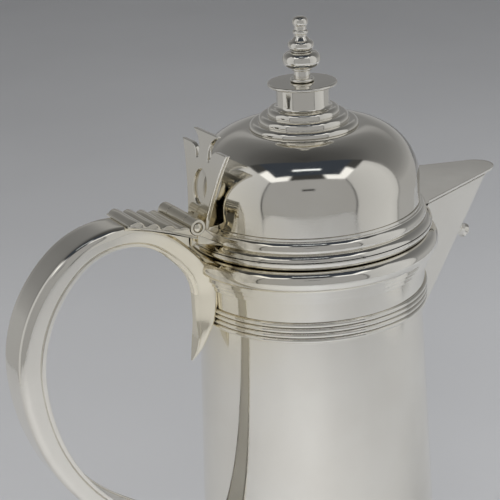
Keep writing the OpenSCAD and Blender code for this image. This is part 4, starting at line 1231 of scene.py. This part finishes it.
# %% Floor
floor_half, floor_front, floor_back = 0.50, 0.71, 4.0
widen_from, floor_back_half = 0.45, 2.4
paper_shade, paper_light = (0.60, 0.605, 0.62, 1), (0.64, 0.645, 0.66, 1)
paper_waves = 3
toward_camera = np.array([math.sin(camera_turn), -math.cos(camera_turn), 0.0])
to_the_right = np.array([math.cos(camera_turn), math.sin(camera_turn), 0.0])
floor_plan = np.array([[-floor_half, floor_front], [floor_half, floor_front], [floor_half, -widen_from],
                       [floor_back_half, -floor_back], [-floor_back_half, -floor_back],
                       [-floor_half, -widen_from]])
floor_mesh = bpy.data.meshes.new("floor")
floor_corners = floor_plan @ [to_the_right, toward_camera]
floor_mesh.from_pydata(floor_corners.tolist(), [], [(0, 1, 2, 5), (5, 2, 3, 4)])
floor = bpy.data.objects.new("floor", floor_mesh)
bpy.context.scene.collection.objects.link(floor)
paper = bpy.data.materials.new("floor_paper")
paper.use_nodes = True
paper_tree = paper.node_tree
paper_shader = paper_tree.nodes["Principled BSDF"]
paper_shader.inputs["Roughness"].default_value = 0.9
paper_place = paper_tree.nodes.new("ShaderNodeTexCoord").outputs["Object"]
paper_clouds = clouds(paper_tree, paper_place, paper_waves, 3)
feed(paper_tree, paper_shader.inputs["Base Color"], mixed(paper_tree, paper_clouds, paper_shade, paper_light))
floor_mesh.materials.append(paper)
print("floor", 2 * floor_half, "m wide in front and", 2 * floor_back_half, "m at the back")

# %% [markdown]
# ## The tent
# The flagon stands in a white photographer's tent: bright sides, a greyer front panel, a dark opening above
# and a grey backdrop. The tent could be built of panels, but each would need its own light. Painted into the
# world by direction it takes a few ramps of grey: how far round from the camera, and how high up, as shares
# of a half turn and of a right angle.

# %% Directions in the tent
world = bpy.data.worlds.new("tent")
bpy.context.scene.world = world
world.use_nodes = True
tent = world.node_tree
side_wall_share = 0.95

swing = tent.nodes.new("ShaderNodeMapping")
swing.vector_type = "VECTOR"
swing.inputs["Rotation"].default_value = (0, 0, -camera_turn)
tent.links.new(tent.nodes.new("ShaderNodeTexCoord").outputs["Generated"], swing.inputs["Vector"])
split = tent.nodes.new("ShaderNodeSeparateXYZ")
tent.links.new(swing.outputs["Vector"], split.inputs["Vector"])
right, up = split.outputs["X"], split.outputs["Z"]
ahead_of = calculate(tent, "MULTIPLY", split.outputs["Y"], -1.0)
aside = calculate(tent, "ABSOLUTE", right)


def share_of(angle, whole):
    """An angle in the tent as a share of a whole one."""
    return calculate(tent, "DIVIDE", angle, whole)


round_share = share_of(calculate(tent, "ABSOLUTE", calculate(tent, "ARCTAN2", right, ahead_of)), math.pi)
up_share = share_of(calculate(tent, "ARCSINE", up), math.pi / 2)
nearest_wall = calculate(tent, "MAXIMUM", ahead_of, calculate(tent, "MULTIPLY", aside, side_wall_share))
climb = share_of(calculate(tent, "ARCTAN2", up, nearest_wall), math.pi / 2)
overhead = share_of(calculate(tent, "ARCTAN2", up, ahead_of), math.pi)
print("direction nodes:", len(tent.nodes))


# %% Walls, opening and backdrop
def steps_of_grey(value, *stops):
    """A colour ramp of greys: each stop is a place from 0 to 1 and a brightness."""
    ramp = tent.nodes.new("ShaderNodeValToRGB")
    while len(ramp.color_ramp.elements) < len(stops):
        ramp.color_ramp.elements.new(0.5)
    for element, (place, grey) in zip(ramp.color_ramp.elements, stops):
        element.position = place
        element.color = (grey, grey, grey, 1)
    tent.links.new(value, ramp.inputs["Fac"])
    return ramp.outputs["Color"]


def patch(half_width, low, high):
    """One inside a band of the room overhead, between two heights and as wide as said, with soft edges."""
    soft_up, soft_aside = 0.004, 0.02
    height = steps_of_grey(overhead, (0.0, 0.0), (low - soft_up, 0.0), (low, 1.0), (high, 1.0),
                           (high + soft_up, 0.0))
    width = steps_of_grey(aside, (0.0, 1.0), (half_width, 1.0), (half_width + soft_aside, 0.0))
    return calculate(tent, "MULTIPLY", height, width)


walls = steps_of_grey(round_share, (0.0, 0.33), (0.259, 0.33), (0.262, 0.03), (0.267, 0.03), (0.270, 0.46),
                      (0.50, 0.56), (0.552, 0.50), (0.558, 0.20), (0.564, 0.20), (0.572, 0.34), (1.0, 0.33))
strips = steps_of_grey(round_share, (0.0, 0.045), (0.13, 0.045), (0.16, 1.0), (0.38, 1.0), (0.42, 0.05),
                       (1.0, 0.05))
opening = steps_of_grey(climb, (0.0, 0.0), (0.585, 0.0), (0.60, 1.0))
above_strips = steps_of_grey(climb, (0.0, 0.0), (0.68, 0.0), (0.70, 1.0))
backdrop = steps_of_grey(up_share, (0.0, 0.36), (0.05, 0.31), (0.17, 0.225), (0.33, 0.17), (0.50, 0.14),
                         (0.61, 0.10), (0.72, 0.075), (0.90, 0.055))
far_wall = steps_of_grey(up_share, (0.0, 0.36), (0.05, 0.31), (0.15, 0.21), (0.185, 0.20), (0.205, 0.33),
                         (0.25, 0.31), (0.30, 0.21), (0.40, 0.16), (0.61, 0.09), (0.72, 0.07), (0.90, 0.05))
behind_flagon = steps_of_grey(round_share, (0.0, 0.0), (0.558, 0.0), (0.572, 1.0))
straight_behind = steps_of_grey(round_share, (0.0, 0.0), (0.80, 0.0), (0.95, 1.0))
tube = patch(0.17, 0.400, 0.413)
camera_slot = patch(0.095, 0.176, 0.190)
dark_roof, lit_tube, slot_black = (0.040, 0.047, 0.060, 1), (1.2, 1.25, 1.3, 1), (0.02, 0.02, 0.02, 1)

backdrop = mixed(tent, straight_behind, backdrop, far_wall)
ceiling = mixed(tent, tube, mixed(tent, above_strips, strips, dark_roof), lit_tube)
front_room = mixed(tent, camera_slot, mixed(tent, opening, walls, ceiling), slot_black)
feed(tent, tent.nodes["Background"].inputs["Color"], mixed(tent, behind_flagon, front_room, backdrop))
print("tent nodes:", len(tent.nodes))

# %% [markdown]
# ## Lamps
# The tent lights the silver. The lamps only light the floor and the duller silver: polished metal
# would show each of them as a hard white square, so they are kept out of its reflections.


# %% Lamps
def soft_lamp(name, place, towards, size, power, colour=(1.0, 1.0, 1.0)):
    """A rectangular area lamp at a place, facing a point, all in metres and watts."""
    light = bpy.data.lights.new(name, "AREA")
    light.shape = "RECTANGLE"
    light.size, light.size_y = size
    light.energy = power
    light.color = colour
    lamp = bpy.data.objects.new(name, light)
    bpy.context.scene.collection.objects.link(lamp)
    lamp.location = place
    lamp.rotation_euler = (Vector(place) - Vector(towards)).to_track_quat("Z", "Y").to_euler()
    lamp.visible_glossy = False
    print(name, power, "W")


middle_of_flagon = (0.0, 0.0, 0.2)
soft_lamp("left_lamp", (-1.0, 0.25, 1.0), middle_of_flagon, (0.7, 0.9), 7.0, (1.0, 0.985, 0.96))
soft_lamp("right_lamp", (0.9, -0.3, 0.9), middle_of_flagon, (0.6, 0.8), 5.0, (0.97, 0.985, 1.0))
soft_lamp("front_floor_lamp", (-0.21, -0.27, 0.46), (-0.21, -0.27, 0.0), (0.2, 0.2), 1.05)
soft_lamp("right_floor_lamp", (0.36, -0.06, 0.45), (0.36, -0.06, 0.0), (0.2, 0.2), 0.18)

# %% [markdown]
# ## Colours as written
# The Standard view shows every colour as it was written.

# %% View
bpy.context.scene.view_settings.view_transform = "Standard"
